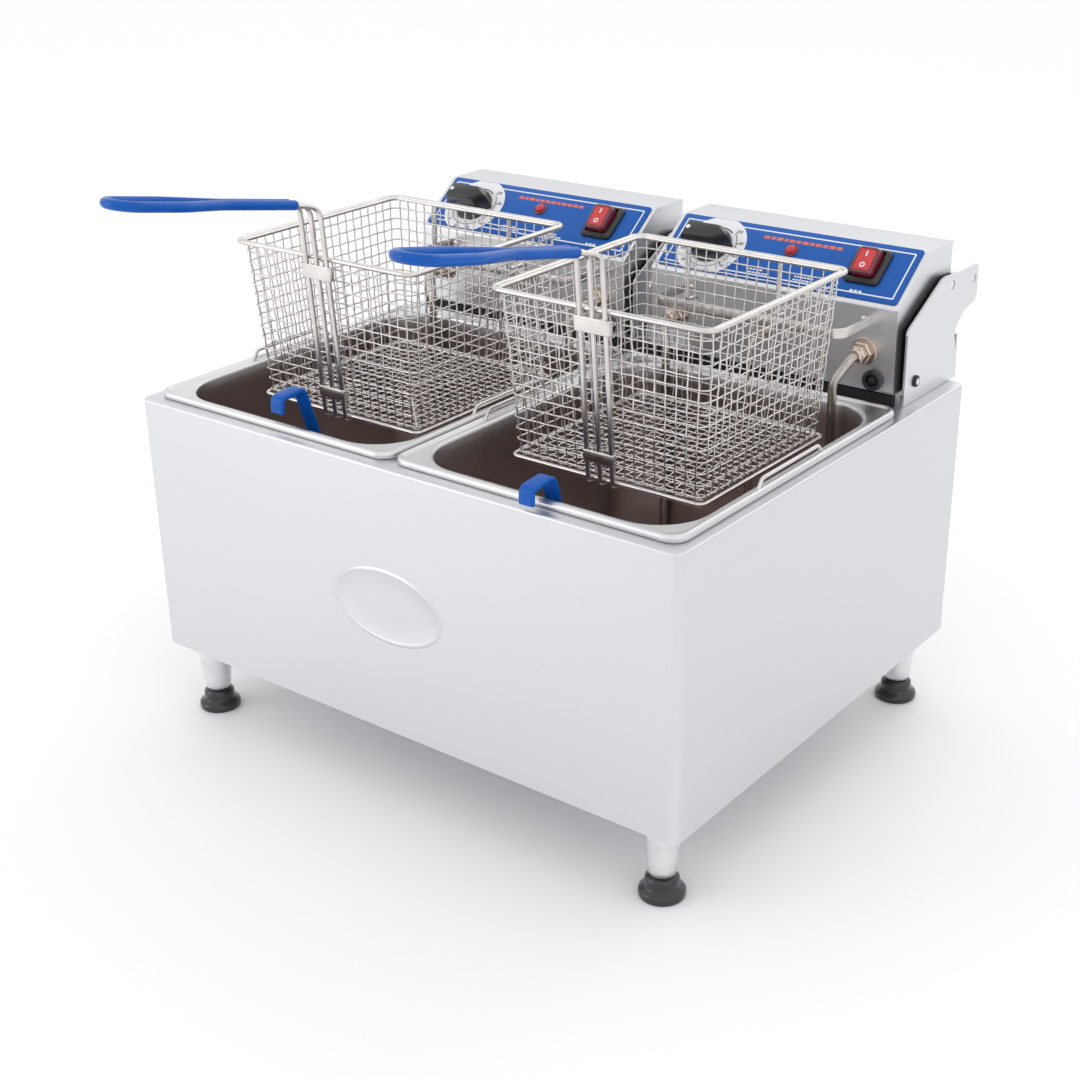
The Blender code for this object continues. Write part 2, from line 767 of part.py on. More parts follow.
def terminal_block():
    """A six-way terminal block on the inside of the housing's base."""
    block_body = block((0.010, 0.175, HEAD_BASE_Z + 0.0020), (0.082, 0.197, HEAD_BASE_Z + 0.0180))
    slots = []
    for i in range(5):
        x = 0.022 + i * 0.012
        low = (x - 0.0010, 0.170, HEAD_BASE_Z + 0.012)
        high = (x + 0.0010, 0.200, HEAD_BASE_Z + 0.030)
        slots.append(block(low, high))
    return cut(block_body, slots)


def heating_element():
    """One bent tube: in at a fitting, down the back of the tank, to and fro above its floor, and up again."""
    spacing = 2 * ELEMENT_DROP_X / (ELEMENT_RUNS - 1)
    turn = spacing * 0.48
    points = [
        (ELEMENT_NUT_X, HEAD_FRONT_Y + 0.018, ELEMENT_NUT_Z),
        (ELEMENT_NUT_X, 0.108, ELEMENT_NUT_Z),
        (ELEMENT_DROP_X, ELEMENT_DROP_Y, 0.345),
        (ELEMENT_DROP_X, ELEMENT_DROP_Y, ELEMENT_Z),
    ]
    radii = [0, 0.010, 0.014, turn]
    for run in range(ELEMENT_RUNS):
        x = ELEMENT_DROP_X - run * spacing
        ends = (0.060, ELEMENT_FRONT_Y) if run % 2 == 0 else (ELEMENT_FRONT_Y, 0.060)
        for y in ends:
            points.append((x, y, ELEMENT_Z))
            radii.append(turn)
    del points[4], radii[4], points[-1], radii[-1]
    points += [(-x, y, z) for x, y, z in reversed(points[:4])]
    radii += reversed(radii[:4])
    coil = tube(rounded_path(points, radii), ELEMENT_RADIUS)
    fittings = []
    for sign in (-1, 1):
        nut = turned([(0, 0.0003), (0.0100, 0.0003), (0.0100, 0.0085), (0.0085, 0.0100), (0, 0.0100)], 6)
        thread = cylinder(0.0060, -0.012, 0.006, 12)
        fittings.append(from_front(nut, sign * ELEMENT_NUT_X, ELEMENT_NUT_Z))
        fittings.append(from_front(thread, sign * ELEMENT_NUT_X, ELEMENT_NUT_Z))
    return join(coil, fittings)


def thermostat_probe():
    """The thermostat's capillary, down the back of the tank to a bulb that lies just above the element."""
    y = ELEMENT_DROP_Y + 0.002
    points = [(0, 0.150, ELEMENT_NUT_Z), (0, y, ELEMENT_NUT_Z), (0, y, 0.157), (0, -0.060, 0.157)]
    return tube(rounded_path(points, [0, 0.012, 0.012, 0]), 0.0030)


def hanger_bar():
    """The flat strip in front of the head that the basket hooks over."""
    back = HEAD_FRONT_Y - GAP
    points = [
        (HANGER_LEFT_X, back, 0),
        (HANGER_LEFT_X, HANGER_Y, 0),
        (HANGER_RIGHT_X, HANGER_Y, 0),
        (HANGER_RIGHT_X, back, 0),
    ]
    outline = ribbon(rounded_path(points, 0.012, 4), 0.0020)
    return prism(outline, HANGER_Z - HANGER_HEIGHT / 2, HANGER_Z + HANGER_HEIGHT / 2)


# --------------------------------------------------------------- lift-out guard


def strap_path(low, high):
    """The strap's centre line in Y and Z, between two heights, up the tank's front and over its rim."""
    line = [(GUARD_FRONT_Y - 0.005, GUARD_Z), (-0.160, 0.200), (-0.2035, 0.3370)]

    def at(z):
        for (y0, z0), (y1, z1) in zip(line, line[1:]):
            if z <= z1:
                return y0 + (y1 - y0) * (z - z0) / (z1 - z0)
        return line[-1][0]

    inside = [point for point in line if low < point[1] < high]
    return [(at(low), low), *inside, (at(high), high)]


def element_guard():
    """A slotted plate over the element, with the lower part of its lifting strap."""
    plate = block((-0.095, GUARD_FRONT_Y, GUARD_Z), (0.095, GUARD_BACK_Y, GUARD_Z + GUARD_SHEET))
    slots = []
    for i in range(7):
        x = (i - 3) * 0.025
        low = (x - 0.008, GUARD_FRONT_Y + 0.012, GUARD_Z - 0.01)
        high = (x + 0.008, GUARD_BACK_Y - 0.012, GUARD_Z + 0.01)
        slots.append(block(low, high))
    path = strap_path(GUARD_Z + 0.0008, STRAP_SPLIT_Z - GAP)
    path = [(GUARD_FRONT_Y + 0.008, GUARD_Z + 0.0008), *path]
    outline = ribbon(rounded_path([(y, z, 0) for y, z in path], 0.004, 2), STRAP_SHEET)
    strap = across_x(prism(outline, -STRAP_WIDTH / 2, STRAP_WIDTH / 2), GUARD_X)
    return join(cut(plate, slots), [strap])


def guard_grip():
    """The dipped upper strap: up to the rim, forward over it and down outside."""
    path = strap_path(STRAP_SPLIT_Z, 0.3370)
    path += [(-0.2295, 0.3350), (-0.2300, 0.3225)]
    outline = ribbon(rounded_path([(y, z, 0) for y, z in path], [0, 0.006, 0.005, 0], 3), 0.0044)
    half = STRAP_WIDTH / 2 + 0.0007
    return across_x(prism(outline, -half, half), GUARD_X)


# ------------------------------------------------------------------- fry basket


def wall_offset(z):
    """The basket skin's half size at a height; its walls lean out towards the rim."""
    share = (z - BASKET_BASE_Z) / (BASKET_RIM_Z - BASKET_BASE_Z)
    low = BASKET_BASE_SIZE / 2 - 2 * FRAME_WIRE - GAP
    high = BASKET_TOP_SIZE / 2 - 2 * RIM_WIRE - GAP
    return low + (high - low) * share


def corner_radius(z):
    """The radius of the basket skin's upright corners at a height."""
    share = (z - BASKET_BASE_Z) / (BASKET_RIM_Z - BASKET_BASE_Z)
    return BASKET_BASE_CORNER + (BASKET_TOP_CORNER - BASKET_BASE_CORNER) * share


def basket_mesh():
    """The basket's skin: an open pan with leaning walls and rounded corners."""

    def ring(z, shrink):
        size = 2 * (wall_offset(z) - shrink)
        return rounded_rect(size, size, corner_radius(z) - shrink, z, steps=2)

    base = BASKET_BASE_Z
    return loft([
        ring(base, 0.0),
        ring(BASKET_RIM_Z, 0.0),
        ring(BASKET_RIM_Z, BASKET_SKIN),
        ring(base + BASKET_SKIN, BASKET_SKIN),
    ])


def wire_loop(half, radius, z):
    """A square wire hoop with rounded corners."""
    corner = corner_radius(z) + radius
    points = [(-half, -half, z), (half, -half, z), (half, half, z), (-half, half, z)]
    return tube(rounded_path(points, corner, 2, loop=True), radius, loop=True)


def handle_y(z):
    """How far forward the handle wires stand at a height, just outside the base and rim hoops."""
    stand = HANDLE_WIRE - WELD
    foot_y = BASKET_BASE_SIZE / 2 + stand
    rim_y = BASKET_TOP_SIZE / 2 + stand
    return -foot_y - (rim_y - foot_y) * (z - BASKET_BASE_Z) / (BASKET_RIM_Z - BASKET_BASE_Z)


def handle_wires():
    """Three wires up the basket's front, above its rim and forward to the grip."""
    wires = []
    low_z = BASKET_BASE_Z + 0.001
    bend_z = BASKET_RIM_Z + HANDLE_RISE
    end = grip_point(0.0)
    for place in (-1, 0, 1):
        x = place * HANDLE_SPREAD
        points = [
            (x, handle_y(low_z), low_z),
            (x, handle_y(bend_z), bend_z),
            (place * 0.0055, end.y + 0.0004, end.z - 0.0001),
        ]
        wires.append(tube(rounded_path(points, 0.010), HANDLE_WIRE))
    return wires


def grip_point(along, across=0.0):
    """A point of the grip's centre plane, by its distance from the basket end."""
    start_y = -BASKET_TOP_SIZE / 2 + GRIP_START[0] + 0.006
    return Vector((
        across,
        start_y - along * math.cos(GRIP_RISE),
        BASKET_RIM_Z + GRIP_START[1] + along * math.sin(GRIP_RISE),
    ))


def hook(x, basket_y):
    """A wire down the basket's back that bends over the hanger bar and down behind it."""
    y_top = wall_offset(BASKET_RIM_Z) + HANDLE_WIRE + GAP
    y_bar = wall_offset(0.403) + HANDLE_WIRE + GAP
    over = HANGER_Y - basket_y
    crest = HANGER_Z + HANGER_HEIGHT / 2 + 0.0025 + HANDLE_WIRE
    behind = over + 0.0010 + HANDLE_WIRE + 0.0016
    points = [
        (x, y_top, BASKET_RIM_Z),
        (x, y_bar, crest),
        (x, behind, crest),
        (x, behind, HANGER_Z - 0.012),
    ]
    return tube(rounded_path(points, [0, 0.002, 0.003, 0], 2), HANDLE_WIRE)


def front_plate(z, width, height):
    """A small plate welded across the three handle wires."""
    y = handle_y(z) - HANDLE_WIRE
    return block((-width / 2, y - 0.0008, z - height / 2), (width / 2, y + 0.0012, z + height / 2))


def basket_frame(basket_y):
    """Rim and base hoops, handle wires, their two plates and the hanging hooks, welded into one piece."""
    rim = wire_loop(BASKET_TOP_SIZE / 2 - RIM_WIRE, RIM_WIRE, BASKET_RIM_Z)
    base = wire_loop(BASKET_BASE_SIZE / 2 - FRAME_WIRE, FRAME_WIRE, BASKET_BASE_Z + 0.0012)
    pieces = handle_wires()
    pieces.append(front_plate(BASKET_RIM_Z - 0.011, 0.033, 0.012))
    pieces.append(front_plate(BASKET_BASE_Z + 0.022, 0.029, 0.009))
    pieces.append(base)
    for sign in (-1, 1):
        pieces.append(hook(sign * HOOK_X - BASKET_X, basket_y))
    return join(rim, pieces)


def basket_grip():
    """The dipped grip: two strands side by side that open into a loop at the far end."""
    start = GRIP_LENGTH * 0.42
    far = GRIP_LENGTH - GRIP_RADIUS
    stem = tube([grip_point(0.0007), grip_point(start + 0.012)], GRIP_RADIUS, 8, flatten=1.9)
    narrow = 0.0056
    wide = 0.0165
    corners = [
        grip_point(start - 0.012, -narrow),
        grip_point(start + 0.055, -wide),
        grip_point(far, -wide),
        grip_point(far, wide),
        grip_point(start + 0.055, wide),
        grip_point(start - 0.012, narrow),
    ]
    radii = [0.0044, 0.060, 0.0160, 0.0160, 0.060, 0.0044]
    strands = tube(rounded_path(corners, radii, loop=True), GRIP_RADIUS, 7, loop=True)
    return join(strands, [stem])


# -------------------------------------------------------------------- assembly


def build_cabinet(origin):
    """The cabinet, its legs and feet, and the two tanks."""
    put("cabinet_shell", cabinet_shell(), "cabinet_steel", origin)
    put("cabinet_floor", cabinet_floor(), "cabinet_steel", origin)
    leg_mesh = leg()
    foot_mesh = foot()
    for x_name, x_sign in SIDES.items():
        for y_name, y_sign in (("front", -1), ("rear", 1)):
            x = x_sign * (CABINET_WIDTH / 2 - LEG_INSET_X)
            y = y_sign * (CABINET_DEPTH / 2 - LEG_INSET_Y)
            put(f"{y_name}_{x_name}_leg", leg_mesh, "leg_metal", origin, (x, y, 0))
            put(f"{y_name}_{x_name}_foot", foot_mesh, "black_plastic", origin, (x, y, 0))
    tank_mesh = tank()
    for name, sign in SIDES.items():
        put(f"{name}_tank", tank_mesh, "tank_steel", origin, (tank_centre(sign)[0], 0, 0))


def build_hinges(origin):
    """The four plates, the two rods through them and the rubber that the heads rest on."""
    reach = HEAD_WIDTH / 2 + PLATE_STANDOFF + PLATE_SHEET / 2
    for name, sign in SIDES.items():
        for plate_name, outward in (("outer", sign), ("inner", -sign)):
            x = sign * UNIT_PITCH / 2 + outward * reach
            put(f"{name}_{plate_name}_hinge_plate", hinge_plate(outward), "head_steel", origin, (x, 0, 0))
    put("pivot_rod", cross_rod(PIVOT_ROD_RADIUS, PIVOT_Y, PIVOT_Z), "leg_metal", origin)
    put("swing_stop_rod", cross_rod(STOP_ROD_RADIUS, STOP_ROD_Y, STOP_ROD_Z), "leg_metal", origin)
    put("rest_strip", rest_strip(), "black_rubber", origin)


def build_head(name, sign, origin):
    """A control head on its pivot, with everything that swings up with it."""
    pivot = empty(f"{name}_head_pivot", origin, (sign * UNIT_PITCH / 2, PIVOT_Y, PIVOT_Z))
    head = empty(f"{name}_head_datum", pivot, (0, -PIVOT_Y, -PIVOT_Z))
    place, tilt = panel_place()
    panel = empty(f"{name}_panel_datum", head, place, tilt)

    put(f"{name}_head_housing", head_housing(), "head_steel", head)
    put(f"{name}_back_cover", back_cover(), "head_steel", head)
    put(f"{name}_cord_gland", cord_gland(), "black_plastic", head)
    put(f"{name}_terminal_block", terminal_block(), "ceramic_block", head)
    put(f"{name}_hanger_bar", hanger_bar(), "wire_chrome", head)
    put(f"{name}_heating_element", heating_element(), "element_steel", head)
    put(f"{name}_thermostat_probe", thermostat_probe(), "wire_chrome", head)

    put(f"{name}_faceplate", faceplate(), "label_blue", panel)
    put(f"{name}_thermostat_body", thermostat_body(), "ceramic_block", panel, (KNOB_X, KNOB_S, 0))
    put(f"{name}_thermostat_knob", thermostat_knob(), "black_plastic", panel, (KNOB_X, KNOB_S, 0))
    put(f"{name}_indicator_lamp", indicator_lamp(), "red_lens", panel, (LAMP_X, LAMP_S, 0))
    put(f"{name}_switch_body", switch_body(), "black_plastic", panel, (SWITCH_X, SWITCH_S, 0))
    rocker_place = (SWITCH_X, SWITCH_S, ROCKER_PIVOT_N)
    put(f"{name}_rocker", rocker(), "red_lens", panel, rocker_place, (ROCKER_REST_TILT, 0, 0))

    front = (RESET_X, HEAD_FRONT_Y, RESET_Z)
    facing = (math.pi / 2, 0, 0)
    put(f"{name}_high_limit_body", high_limit_body(), "black_plastic", head, front, facing)
    put(f"{name}_reset_button", reset_button(), "black_plastic", head, front, facing)

    guard_y, guard_z = GUARD_SHIFT[name]
    put(f"{name}_element_guard", element_guard(), "tank_steel", head, (0, guard_y, guard_z))
    put(f"{name}_guard_grip", guard_grip(), "blue_vinyl", head, (0, guard_y, guard_z))

    basket = empty(f"{name}_basket_datum", head, (BASKET_X, BASKET_Y[name], 0))
    put(f"{name}_basket_mesh", basket_mesh(), "wire_chrome", basket)
    put(f"{name}_basket_frame", basket_frame(BASKET_Y[name]), "wire_chrome", basket)
    put(f"{name}_basket_grip", basket_grip(), "blue_vinyl", basket)


def main():
    for obj in list(bpy.data.objects):
        bpy.data.objects.remove(obj)
    origin = empty("fryer_origin", None, (0, CABINET_Y, 0))
    build_cabinet(origin)
    build_hinges(origin)
    for name, sign in SIDES.items():
        build_head(name, sign, origin)
    bpy.context.view_layer.update()


main()
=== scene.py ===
"""Looks of a twin-tank countertop deep fryer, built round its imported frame.

Every piece is built in the frame's metres and rides on the frame's bodies. A shape is its points and
its faces, with a material number where it isn't 0, and a piece joins one or more shapes.
"""

import json
import math

import bmesh
import bpy
import numpy as np
from mathutils import Matrix, Vector


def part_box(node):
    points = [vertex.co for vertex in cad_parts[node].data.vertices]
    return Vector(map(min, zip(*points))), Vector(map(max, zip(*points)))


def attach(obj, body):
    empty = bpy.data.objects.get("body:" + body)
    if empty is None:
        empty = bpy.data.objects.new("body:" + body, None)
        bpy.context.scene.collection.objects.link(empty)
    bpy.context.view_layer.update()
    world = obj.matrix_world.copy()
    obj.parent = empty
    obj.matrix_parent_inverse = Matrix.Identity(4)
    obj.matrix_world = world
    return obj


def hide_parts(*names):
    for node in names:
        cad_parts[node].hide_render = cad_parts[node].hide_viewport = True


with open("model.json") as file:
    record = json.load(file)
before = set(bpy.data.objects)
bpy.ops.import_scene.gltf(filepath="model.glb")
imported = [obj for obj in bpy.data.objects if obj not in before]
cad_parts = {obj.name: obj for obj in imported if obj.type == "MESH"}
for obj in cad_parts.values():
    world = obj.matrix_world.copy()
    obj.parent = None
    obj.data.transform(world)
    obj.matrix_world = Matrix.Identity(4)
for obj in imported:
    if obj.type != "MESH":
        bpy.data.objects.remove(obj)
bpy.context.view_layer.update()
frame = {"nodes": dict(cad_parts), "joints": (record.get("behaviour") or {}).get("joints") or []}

# ---- places read from the frame

SIDES = ("left", "right")
JOINTS = {joint["name"]: joint for joint in frame["joints"]}

shell_low, shell_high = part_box("cabinet_shell")
floor_low, floor_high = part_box("cabinet_floor")
MIDDLE_Y = (floor_low.y + floor_high.y) / 2
CABINET_WIDTH = shell_high.x - shell_low.x
CABINET_DEPTH = 2 * (shell_high.y - MIDDLE_Y)
BASE_Z = shell_low.z
DECK_Z = shell_high.z

# ---- sizes, in metres; MM turns millimetres into them

MM = 0.001
SHEET = 0.0015
CABINET_RADIUS = 0.008
FOLD_RADIUS = 0.0022
CUT = 0.01
EMBOSS_Z = 0.192
EMBOSS_HALF = (0.061, 0.034)

RIM_WIDTH = 0.01
DECK_LIP = 0.006
RIM_RISE = 0.0067
TANK_CORNER = 0.045
TANK_TAPER = 0.008
TANK_FILLET = 0.022
RIM_CORNER = 0.015

PLATE_SCREW_Y, PLATE_SCREW_Z = 0.1585, 0.3356
HEAD_FOLD = 0.003
END_SEAM = 0.00035
# Painted shade: black sheets on the heads' ends stand in for the shade in the gap beside each standing
# plate.
SHADE_SHEET = 0.001
SHADE_SHEET_FOOT = 0.002
SHADE_SHEET_EDGE = ((0.1398, 0.3848), (0.198, 0.4155), (0.205, 0.4168), (0.228, 0.415))
LABEL_SIZE = (0.244, 0.0615)
GROUND = 0.0009
INK = 0.00008
LABEL_S = 0.0347
DIAL_RADIUS = 0.0335
DIAL_START, DIAL_END = math.radians(-225), math.radians(45)
DIAL_TICKS = 28
LAMP_X, LAMP_S = 0.002, 0.042
ROCKER_REST = math.radians(7.0)
RESET_X, RESET_Z = 0.1069, 0.339
NUT_X, NUT_Z = 0.0965, 0.363
GLAND_X, GLAND_Z = -0.07, 0.352

ELEMENT_RADIUS = 0.004
ELEMENT_DROP = (0.086, 0.098)
ELEMENT_Z = 0.145
ELEMENT_FRONT_Y = -0.121
ELEMENT_BACK_Y = 0.06
ELEMENT_RUNS = 6
PROBE_Y, PROBE_Z = 0.1, 0.157

MESH_CELLS = 19
MESH_WIRE = 0.00068
MESH_WAVE = 0.00042
MESH_HOOPS = 14
WAVE_STEPS = 3
BASKET_BASE = 0.0914
BASKET_MOUTH = 0.1012
BASE_CORNER = 0.0045
MOUTH_CORNER = 0.0085
RIM_OVERHANG = 0.0053
RIM_WIRE = 0.0022
RIM_INNER_WIRE = 0.0019
BASE_WIRE = 0.0019
HANDLE_WIRE = 0.0022
HANDLE_SPREAD = 0.012
HOOK_SPREAD = 0.0455
WELD = 0.0005
GRIP_RADIUS = 0.0042
GRIP_LENGTH = 0.194
GRIP_RISE = math.radians(11.0)

# ---- shape functions


def ring_faces(low, high, count):
    """Quads between two rings that start at two point numbers."""
    return [(low + j, low + (j + 1) % count, high + (j + 1) % count, high + j) for j in range(count)]


def loft(rings, closed=False):
    """A shape through rings of equal point counts, capped at its ends unless it closes on itself."""
    count = len(rings[0])
    points = np.concatenate([np.asarray(ring, float) for ring in rings])
    faces = []
    for i in range(len(rings) - 1):
        faces += ring_faces(i * count, (i + 1) * count, count)
    if closed:
        faces += ring_faces((len(rings) - 1) * count, 0, count)
    else:
        faces += [tuple(range(count)), tuple(range(len(points) - count, len(points)))]
    return points, faces


def lathe(profile, sides=48):
    """A shape turned about Z from (radius, z) points."""
    angles = np.arange(sides) * 2 * math.pi / sides
    return loft([
        np.stack([radius * np.cos(angles), radius * np.sin(angles), np.full(sides, z)], 1)
        for radius, z in ((max(r, 1e-5), z) for r, z in profile)
    ])


def turned(profile, sides=48):
    """A shape turned about Z from (radius, z) points in millimetres."""
    return lathe([(radius * MM, z * MM) for radius, z in profile], sides)


def rounded_rect(width, depth, radius, z, centre=(0.0, 0.0), steps=8):
    """A ring at height z: a rectangle whose corners are arcs."""
    ring = []
    for quarter in range(4):
        sign_x = 1 if quarter in (0, 3) else -1
        sign_y = 1 if quarter in (0, 1) else -1
        corner_x = centre[0] + sign_x * (width / 2 - radius)
        corner_y = centre[1] + sign_y * (depth / 2 - radius)
        for step in range(steps + 1):
            angle = (quarter + step / steps) * math.pi / 2
            ring.append((corner_x + radius * math.cos(angle), corner_y + radius * math.sin(angle), z))
    return ring


def stacked(sizes):
    """A shape through rounded rectangles: width, depth, corner and height of each in millimetres."""
    return loft([rounded_rect(*(size * MM for size in row)) for row in sizes])


def quarter(steps):
    """The rise and run, from 0 to 1, along a quarter circle that starts straight up."""
    angles = [step / steps * math.pi / 2 for step in range(1, steps + 1)]
    return [(math.sin(angle), 1 - math.cos(angle)) for angle in angles]


def circle(radius, sides=12, flat=1.0):
    """A wire's cross-section; flat scales it sideways."""
    angles = (np.arange(sides) + 0.5) * 2 * math.pi / sides
    return np.stack([radius * flat * np.cos(angles), radius * np.sin(angles)], 1)


def bar_section(width, height, radius, steps=3):
    """A flat bar's cross-section with rounded edges."""
    return np.array(rounded_rect(width, height, radius, 0.0, steps=steps))[:, :2]


def bent(corners, radii, steps=8, closed=False):
    """A path through corners, each replaced by an arc of its radius."""
    corners = [Vector(corner) for corner in corners]
    count = len(corners)
    path = []
    for i, corner in enumerate(corners):
        radius = radii[i] if isinstance(radii, (list, tuple)) else radii
        if (not closed and i in (0, count - 1)) or radius <= 0:
            path.append(corner)
            continue
        before = (corners[i - 1] - corner).normalized()
        after = (corners[(i + 1) % count] - corner).normalized()
        half = before.angle(after) / 2
        centre = corner + (before + after).normalized() * (radius / math.sin(half))
        start = corner + before * (radius / math.tan(half)) - centre
        end = corner + after * (radius / math.tan(half)) - centre
        axis = start.cross(end).normalized()
        turn = math.pi - 2 * half
        for step in range(steps + 1):
            path.append(centre + Matrix.Rotation(turn * step / steps, 3, axis) @ start)
    return path


def sweep(path, section, closed=False, side=(1, 0, 0)):
    """A section swept along a path; its first axis starts near the given side."""
    path = [Vector(point) for point in path]
    count = len(path)
    tangents = []
    for i, point in enumerate(path):
        ahead = path[(i + 1) % count] if closed or i < count - 1 else point
        behind = path[i - 1] if closed or i > 0 else point
        tangents.append((ahead - behind).normalized())
    across = Vector(side)
    if abs(across.dot(tangents[0])) > 0.95:
        across = tangents[0].orthogonal()
    rings = []
    previous = tangents[0]
    for point, tangent in zip(path, tangents):
        across = previous.rotation_difference(tangent) @ across
        across = (across - tangent * across.dot(tangent)).normalized()
        up = tangent.cross(across)
        rings.append(np.array(point) + np.outer(section[:, 0], across) + np.outer(section[:, 1], up))
        previous = tangent
    return loft(rings, closed)


def wire(path, radius, closed=False, sides=12):
    """A round wire along a path."""
    return sweep(path, circle(radius, sides), closed)


def prism(outline, low, high):
    """An outline in XY extruded between two heights."""
    return loft([[(x, y, low) for x, y in outline], [(x, y, high) for x, y in outline]])


def block(low, high):
    """A box between two corners."""
    outline = [(low[0], low[1]), (high[0], low[1]), (high[0], high[1]), (low[0], high[1])]
    return prism(outline, low[2], high[2])


def placed(shape, matrix):
    """A shape moved by a 4 by 4 matrix; it keeps its material number, if it has one."""
    turn = np.array(matrix)
    return shape[0] @ turn[:3, :3].T + turn[:3, 3], *shape[1:]


def shifted(shape, x=0.0, y=0.0):
    """A shape moved level."""
    return shape[0] + np.array((x, y, 0.0)), *shape[1:]


def along_x(shape):
    """A shape drawn in (y, z) with its height running along X."""
    return shape[0][:, [2, 0, 1]], shape[1]


def pointing(axis, place):
    """The matrix that turns Z to an axis and moves to a place."""
    turn = Vector((0, 0, 1)).rotation_difference(Vector(axis)).to_matrix().to_4x4()
    return Matrix.Translation(place) @ turn


def mesh_of(shapes):
    """One mesh from shapes, with a material number for each; every closed part faces out."""
    mesh = bpy.data.meshes.new("shape")
    points = []
    faces = []
    numbers = []
    for shape in shapes:
        start = sum(len(part) for part in points)
        points.append(shape[0])
        faces += [tuple(start + i for i in face) for face in shape[1]]
        numbers += [shape[2] if len(shape) > 2 else 0] * len(shape[1])
    mesh.from_pydata(np.concatenate(points).tolist(), [], faces)
    mesh.polygons.foreach_set("material_index", numbers)
    bm = bmesh.new()
    bm.from_mesh(mesh)
    bmesh.ops.recalc_face_normals(bm, faces=bm.faces)
    bm.to_mesh(mesh)
    bm.free()
    return mesh


def carve(shape, cutters):
    """A closed shape with others cut out of it, one after another."""
    target = bpy.data.objects.new("target", mesh_of([shape]))
    helpers = [target]
    for shape in cutters:
        helpers.append(bpy.data.objects.new("cutter", mesh_of([shape])))
        modifier = target.modifiers.new("cut", "BOOLEAN")
        modifier.operation = "DIFFERENCE"
        modifier.solver = "EXACT"
        modifier.object = helpers[-1]
    for helper in helpers:
        bpy.context.scene.collection.objects.link(helper)
    graph = bpy.context.evaluated_depsgraph_get()
    mesh = target.evaluated_get(graph).to_mesh()
    points = np.array([vertex.co for vertex in mesh.vertices])
    faces = [tuple(polygon.vertices) for polygon in mesh.polygons]
    for helper in helpers:
        bpy.data.objects.remove(helper)
    return points, faces


def piece(name, body, shapes, materials, nodes=(), slot=None, bevel=0.0, sharp=38):
    """A visible piece: its shapes in the frame, its body, and the CAD nodes that it stands for."""
    mesh = mesh_of(shapes)
    mesh.name = name
    for material in materials:
        mesh.materials.append(material)
    mesh.shade_smooth()
    mesh.set_sharp_from_angle(angle=math.radians(sharp))
    obj = bpy.data.objects.new(name, mesh)
    bpy.context.scene.collection.objects.link(obj)
    if bevel:
        soften(obj, bevel)
    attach(obj, body)
    if nodes:
        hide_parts(*nodes)
    return obj


def side_piece(side, name, body, shapes, materials, node=None, slot=None, **looks):
    """A piece of one side's head, guard or basket; its name, body and node start with that side."""
    nodes = [f"{side}_{node}"] if node else ()
    piece(f"{side}_{name}", f"{side}_{body}", shapes, materials, nodes, slot, **looks)


def soften(obj, width, segments=2):
    """Rounds an object's sharp edges a little, so that they catch the light."""
    modifier = obj.modifiers.new("edges", "BEVEL")
    modifier.width = width
    modifier.segments = segments
    modifier.limit_method = "ANGLE"
    modifier.angle_limit = math.radians(40)
    modifier.harden_normals = True


# ---- materials


GRAIN = 900.0
BRUSH_LENGTH = 7.0
BRUSH_DEPTH = 0.0000012
WEAR_RANGE = (0.4, 0.95)
PRINT = {"grain": 1600.0, "depth": 0.000003}


class Finish:
    """A procedural material being made: its nodes, its shader's inputs and the object's coordinates."""

    def __init__(self, name, metallic=0.0):
        self.material = bpy.data.materials.new(name)
        self.material.use_nodes = True
        self.nodes = self.material.node_tree.nodes
        self.link = self.material.node_tree.links.new
        self.shader = self.nodes["Principled BSDF"].inputs
        self.coordinates = self.nodes.new("ShaderNodeTexCoord").outputs
        self.shader["Metallic"].default_value = metallic

    def noise(self, scale, detail=2.0):
        """Noise on the object's coordinates, with a different scale on each axis."""
        mapping = self.nodes.new("ShaderNodeMapping")
        mapping.inputs["Scale"].default_value = scale
        self.link(self.coordinates["Object"], mapping.inputs["Vector"])
        noise = self.nodes.new("ShaderNodeTexNoise")
        noise.inputs["Scale"].default_value = 1.0
        noise.inputs["Detail"].default_value = detail
        self.link(mapping.outputs["Vector"], noise.inputs["Vector"])
        return noise.outputs["Fac"]

    def part(self, source, axis):
        """One axis of a vector."""
        split = self.nodes.new("ShaderNodeSeparateXYZ")
        self.link(source, split.inputs["Vector"])
        return split.outputs[axis]

    def maths(self, operation, value):
        """A maths node fed with a value."""
        node = self.nodes.new("ShaderNodeMath")
        node.operation = operation
        self.link(value, node.inputs[0])
        return node

    def spread(self, value, low, high, source=(0.3, 0.7)):
        """A value's source range spread over another range."""
        node = self.nodes.new("ShaderNodeMapRange")
        for name, number in zip(("From Min", "From Max", "To Min", "To Max"), (*source, low, high)):
            node.inputs[name].default_value = number
        self.link(value, node.inputs["Value"])
        return node.outputs["Result"]

    def colour(self, value, low, high, source=(0.3, 0.7)):
        """A base colour that goes from low to high with a value."""
        node = self.nodes.new("ShaderNodeMix")
        node.data_type = "RGBA"
        node.inputs[6].default_value = (*low, 1.0)
        node.inputs[7].default_value = (*high, 1.0)
        self.link(self.spread(value, 0, 1, source), node.inputs[0])
        self.link(node.outputs[2], self.shader["Base Color"])

    def roughness(self, value, low, high, source=(0.3, 0.7)):
        """A roughness that goes from low to high with a value."""
        self.link(self.spread(value, low, high, source), self.shader["Roughness"])

    def bump(self, height, distance):
        """A bump as deep as a distance."""
        bump = self.nodes.new("ShaderNodeBump")
        bump.inputs["Strength"].default_value = 1.0
        bump.inputs["Distance"].default_value = distance
        self.link(height, bump.inputs["Height"])
        self.link(bump.outputs["Normal"], self.shader["Normal"])


def shaded(colour, share):
    """A colour made darker."""
    return tuple(channel * share for channel in colour)


